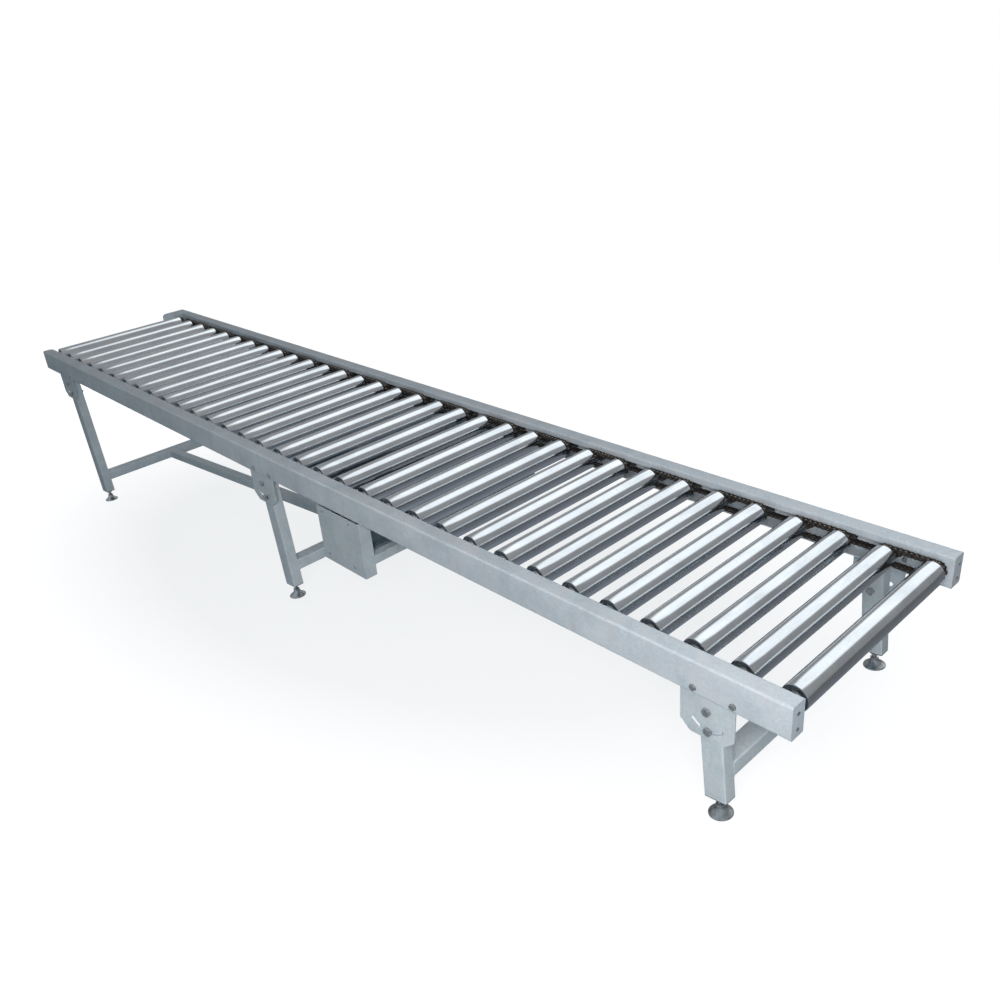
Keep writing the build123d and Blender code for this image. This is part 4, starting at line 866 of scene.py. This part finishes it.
place("bracket_bolts_made", s.mesh("bracket_bolts", [MAT_BOLT, MAT_CUP], 32), "bed", ("bracket_bolts",))


def button_screw(s, fr, r=4.6, h=2.2, shank=11.5, turn=0.0):
    """domed button head with a hexagon socket; the frame's Z points out of the panel"""
    fr = fr @ Matrix.Rotation(turn, 4, "Z")
    n = 24
    dome = [(r, 0.0), (r, 0.55), (r * 0.93, 1.15), (r * 0.78, 1.7), (r * 0.60, 2.05), (r * 0.50, 2.2)]
    verts, faces = [], []
    for rr, hh in dome:
        verts += [fr @ Vector((rr * cos(2 * pi * i / n) / 1000, rr * sin(2 * pi * i / n) / 1000, hh * h / 2.2 / 1000)) for i in range(n)]
    sock = hex_ring(3.0, n)
    for hh in (2.2, 0.9):
        verts += [fr @ Vector((p[0] / 1000, p[1] / 1000, hh * h / 2.2 / 1000)) for p in sock]
    k = len(dome) + 2
    for a in range(k - 1):
        for i in range(n):
            j = (i + 1) % n
            faces.append((a * n + i, a * n + j, (a + 1) * n + j, (a + 1) * n + i))
    faces.append(tuple(range(n - 1, -1, -1)))
    faces.append(tuple((k - 1) * n + i for i in range(n)))
    s.put(verts, faces, 0)
    s.lathe([(0, -shank), (2.1, -shank), (2.45, -shank + 0.5), (2.45, 0.2), (0, 0.2)], 16, fr, 0)


s = Shell()
n_screw = 0
for u_face, out, far in ((U_R + 2.5, 1, False), (U_R + 2.5, 1, True), (U_L - 2.5, -1, False), (U_L - 3.0, -1, True)):
    for a, b in ((20.0, -23.0), (20.0, -60.0)):
        n_screw += 1
        button_screw(s, axis_frame(bed(u_face, 720 - a if far else a, b), U * out, Y), turn=n_screw * 0.37)
BU0, BU1, BW0, BW1 = -1541.0, -1333.0, -264.0, -83.0
for u, w in ((BU0 + 28, BW0 + 24), (BU1 - 48, BW0 + 24), (BU0 + 28, BW1 - 14), (BU1 - 48, BW1 - 14)):
    n_screw += 1
    button_screw(s, axis_frame(bed(u, 0, w), -Y, U), turn=n_screw * 0.37)
place("panel_screws_made", s.mesh("panel_screws", [MAT_BOLT], 34), "bed", ("panel_screws",))

# ---------------------------------------------------------------------------
# levelling feet: turned bell base, swivel neck, real thread, chamfered lock nut
# ---------------------------------------------------------------------------
def foot_mesh():
    s = Shell()
    fr = Matrix.Identity(4)
    base = [(0, 0.0), (25.4, 0.0), (26.5, 0.25), (27.0, 0.9), (27.0, 2.9), (26.7, 3.6), (25.8, 4.3), (24.2, 5.3), (22.0, 6.8), (19.6, 8.5),
            (17.0, 10.4), (14.9, 12.4), (13.0, 14.6), (11.6, 16.9), (10.5, 19.2), (10.1, 21.6), (9.95, 22.6), (9.5, 23.1), (9.5, 24.0),
            (9.9, 24.4), (9.9, 26.0), (9.3, 26.8), (8.4, 27.0), (0, 27.0)]
    s.lathe(base, 64, fr, 0)
    thread(s, fr, 6.0, 1.75, 26.6, 104.9, 1, 28)
    hex_part(s, fr, 18.0, 35.95, 45.85, 1, both=True, bore=5.6, turn=0.35)
    return s.mesh("levelling_foot", [MAT_FOOT, MAT_BOLT], 30)


foot = foot_mesh()
for name in ("foot_right_near", "foot_right_far", "foot_mid_near", "foot_mid_far", "foot_left_near", "foot_left_far"):
    lo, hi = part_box(name)
    at = Matrix.Translation(((lo.x + hi.x) / 2, (lo.y + hi.y) / 2, 0))
    place(name + "_made", foot, name + "_screwed", (name,), at)

# ---------------------------------------------------------------------------
# camera, floor and light
# ---------------------------------------------------------------------------
cam_data = bpy.data.cameras.new("camera")
cam = bpy.data.objects.new("camera", cam_data)
SCENE.collection.objects.link(cam)
SCENE.camera = cam
rot = Vector((1.904, 0.72, -0.66))
R = Matrix.Rotation(rot.length, 3, rot.normalized())
R1X = bed(0, 0, 0).x
cam_at = Vector((R1X + 0.79959, -0.36 - 1.25200, 1.45469))
M = Matrix((R[0], -R[1], -R[2])).transposed().to_4x4()
M.translation = cam_at
cam.matrix_world = M
cam_data.sensor_width = 36.0
cam_data.lens = 33.946
cam_data.clip_start, cam_data.clip_end = 0.05, 100.0

me = bpy.data.meshes.new("floor")
me.from_pydata([(-30, -30, 0), (30, -30, 0), (30, 30, 0), (-30, 30, 0)], [], [(0, 1, 2, 3)])
floor = bpy.data.objects.new("floor", me)
SCENE.collection.objects.link(floor)
m, t, b = node_tree("pale_floor")
b.inputs["Base Color"].default_value = (0.13, 0.13, 0.132, 1)
b.inputs["Roughness"].default_value = 1.0
b.inputs["Specular IOR Level"].default_value = 0.0
# the floor glows by itself, with a painted shade: the glow is darker around the middle, under the conveyor, and rises
# to near white further out
spread = add(t, "ShaderNodeVectorMath", operation="LENGTH")
t.links.new(coords(t, (0.42, 0.9, 0.0)), spread.inputs[0])
floor_glow_painted_shade = ramp(t, spread.outputs["Value"], [(0.55, (0.80, 0.815, 0.825)), (1.0, (0.985, 0.99, 0.995))])
t.links.new(floor_glow_painted_shade, b.inputs["Emission Color"])
b.inputs["Emission Strength"].default_value = 1.0
me.materials.append(m)
floor.visible_glossy = False
floor.visible_diffuse = False

# studio surroundings: a wide soft box overhead with darker walls below it for
# the bright metal, a cool even fill for everything else
world = bpy.data.worlds.new("studio")
SCENE.world = world
world.use_nodes = True
wt = world.node_tree
wt.nodes.clear()
wo = wt.nodes.new("ShaderNodeOutputWorld")
bg = wt.nodes.new("ShaderNodeBackground")
wc = wt.nodes.new("ShaderNodeTexCoord")
ray = add(wt, "ShaderNodeSeparateXYZ")
wt.links.new(wc.outputs["Generated"], ray.inputs[0])
height = remap(wt, ray.outputs["Z"], 0.0, 1.0, -1.0, 1.0)


def level(z):
    return (z + 1) / 2


walls = ramp(wt, height, [(level(-0.95), (0.24, 0.29, 0.35)), (level(-0.60), (0.17, 0.18, 0.20)), (level(-0.12), (0.145, 0.15, 0.157)),
                          (level(-0.06), (0.18, 0.185, 0.19)), (level(-0.01), (0.34, 0.35, 0.36)), (level(0.05), (0.30, 0.305, 0.31)),
                          (level(0.4), (0.33, 0.335, 0.345)), (level(1.0), (0.36, 0.37, 0.38))])
# the soft box hangs beyond the far rail: its edges in x / z, seen from the bed
across_box = maths(wt, "DIVIDE", ray.outputs["X"], maths(wt, "MAXIMUM", ray.outputs["Z"], 0.02))
end_edge = remap(wt, maths(wt, "SUBTRACT", across_box, maths(wt, "MULTIPLY", ray.outputs["Y"], 0.8)), 1.0, 0.0, -0.03, 0.24)
head_edge = remap(wt, maths(wt, "ADD", across_box, maths(wt, "MULTIPLY", ray.outputs["Y"], 2.4)), 0.0, 1.0, 0.42, 0.86)
low_edge = remap(wt, ray.outputs["Z"], 0.0, 1.0, 0.12, 0.26)
box_light = maths(wt, "MULTIPLY", maths(wt, "MULTIPLY", end_edge, head_edge), low_edge)
walls = mix(wt, walls, (1.27, 1.33, 1.36), box_light)
# a broad pale panel on the open side, behind the camera
panel = maths(wt, "MULTIPLY", remap(wt, ray.outputs["Y"], 1.0, 0.0, -0.45, -0.12), remap(wt, ray.outputs["Z"], 0.35, 1.0, -0.35, 0.10))
panel = maths(wt, "MULTIPLY", panel, remap(wt, ray.outputs["X"], 0.0, 1.0, -0.93, -0.79))
walls = mix(wt, walls, (0.50, 0.54, 0.58), panel)
fill = ramp(wt, height, [(level(-0.8), (0.068, 0.10, 0.115)), (level(0.0), (0.060, 0.124, 0.148)), (level(0.8), (0.122, 0.142, 0.153))])
lp = wt.nodes.new("ShaderNodeLightPath")
seen = mix(wt, fill, walls, lp.outputs["Is Glossy Ray"])
seen = mix(wt, seen, (1.0, 1.0, 1.0), lp.outputs["Is Camera Ray"])
wt.links.new(seen, bg.inputs[0])
bg.inputs[1].default_value = 1.0
wt.links.new(bg.outputs[0], wo.inputs[0])


def area(name, at, target, size_x, size_y, power, color=(1, 1, 1)):
    l = bpy.data.lights.new(name, "AREA")
    l.shape = "RECTANGLE"
    l.size, l.size_y, l.energy, l.color = size_x, size_y, power, color
    o = bpy.data.objects.new(name, l)
    SCENE.collection.objects.link(o)
    o.location = at
    d = Vector(target) - Vector(at)
    o.rotation_euler = d.to_track_quat("-Z", "Y").to_euler()
    o.visible_glossy = False
    return o


area("key", (2.9, -2.15, 1.72), (1.3, 0.0, 0.3), 1.4, 1.4, 112, (1.0, 0.98, 0.965))
area("overhead", (0.0, -0.4, 3.0), (0.0, 0.0, 0.3), 4.0, 1.5, 6, (1.0, 0.93, 0.90))
area("back", (-0.4, 4.2, 0.9), (-0.2, 0.0, 0.3), 4.5, 1.2, 75, (0.97, 0.99, 1.0))
area("left", (-4.6, 0.35, 0.75), (-1.8, 0.1, 0.35), 0.9, 0.9, 38, (0.97, 0.99, 1.0))
area("low_fill", (3.5, -1.3, 0.35), (1.7, -0.1, 0.15), 0.8, 0.5, 9, (1.0, 0.99, 0.98))

SCENE.view_settings.view_transform = "Standard"
SCENE.view_settings.look = "None"
SCENE.view_settings.exposure = 0.0
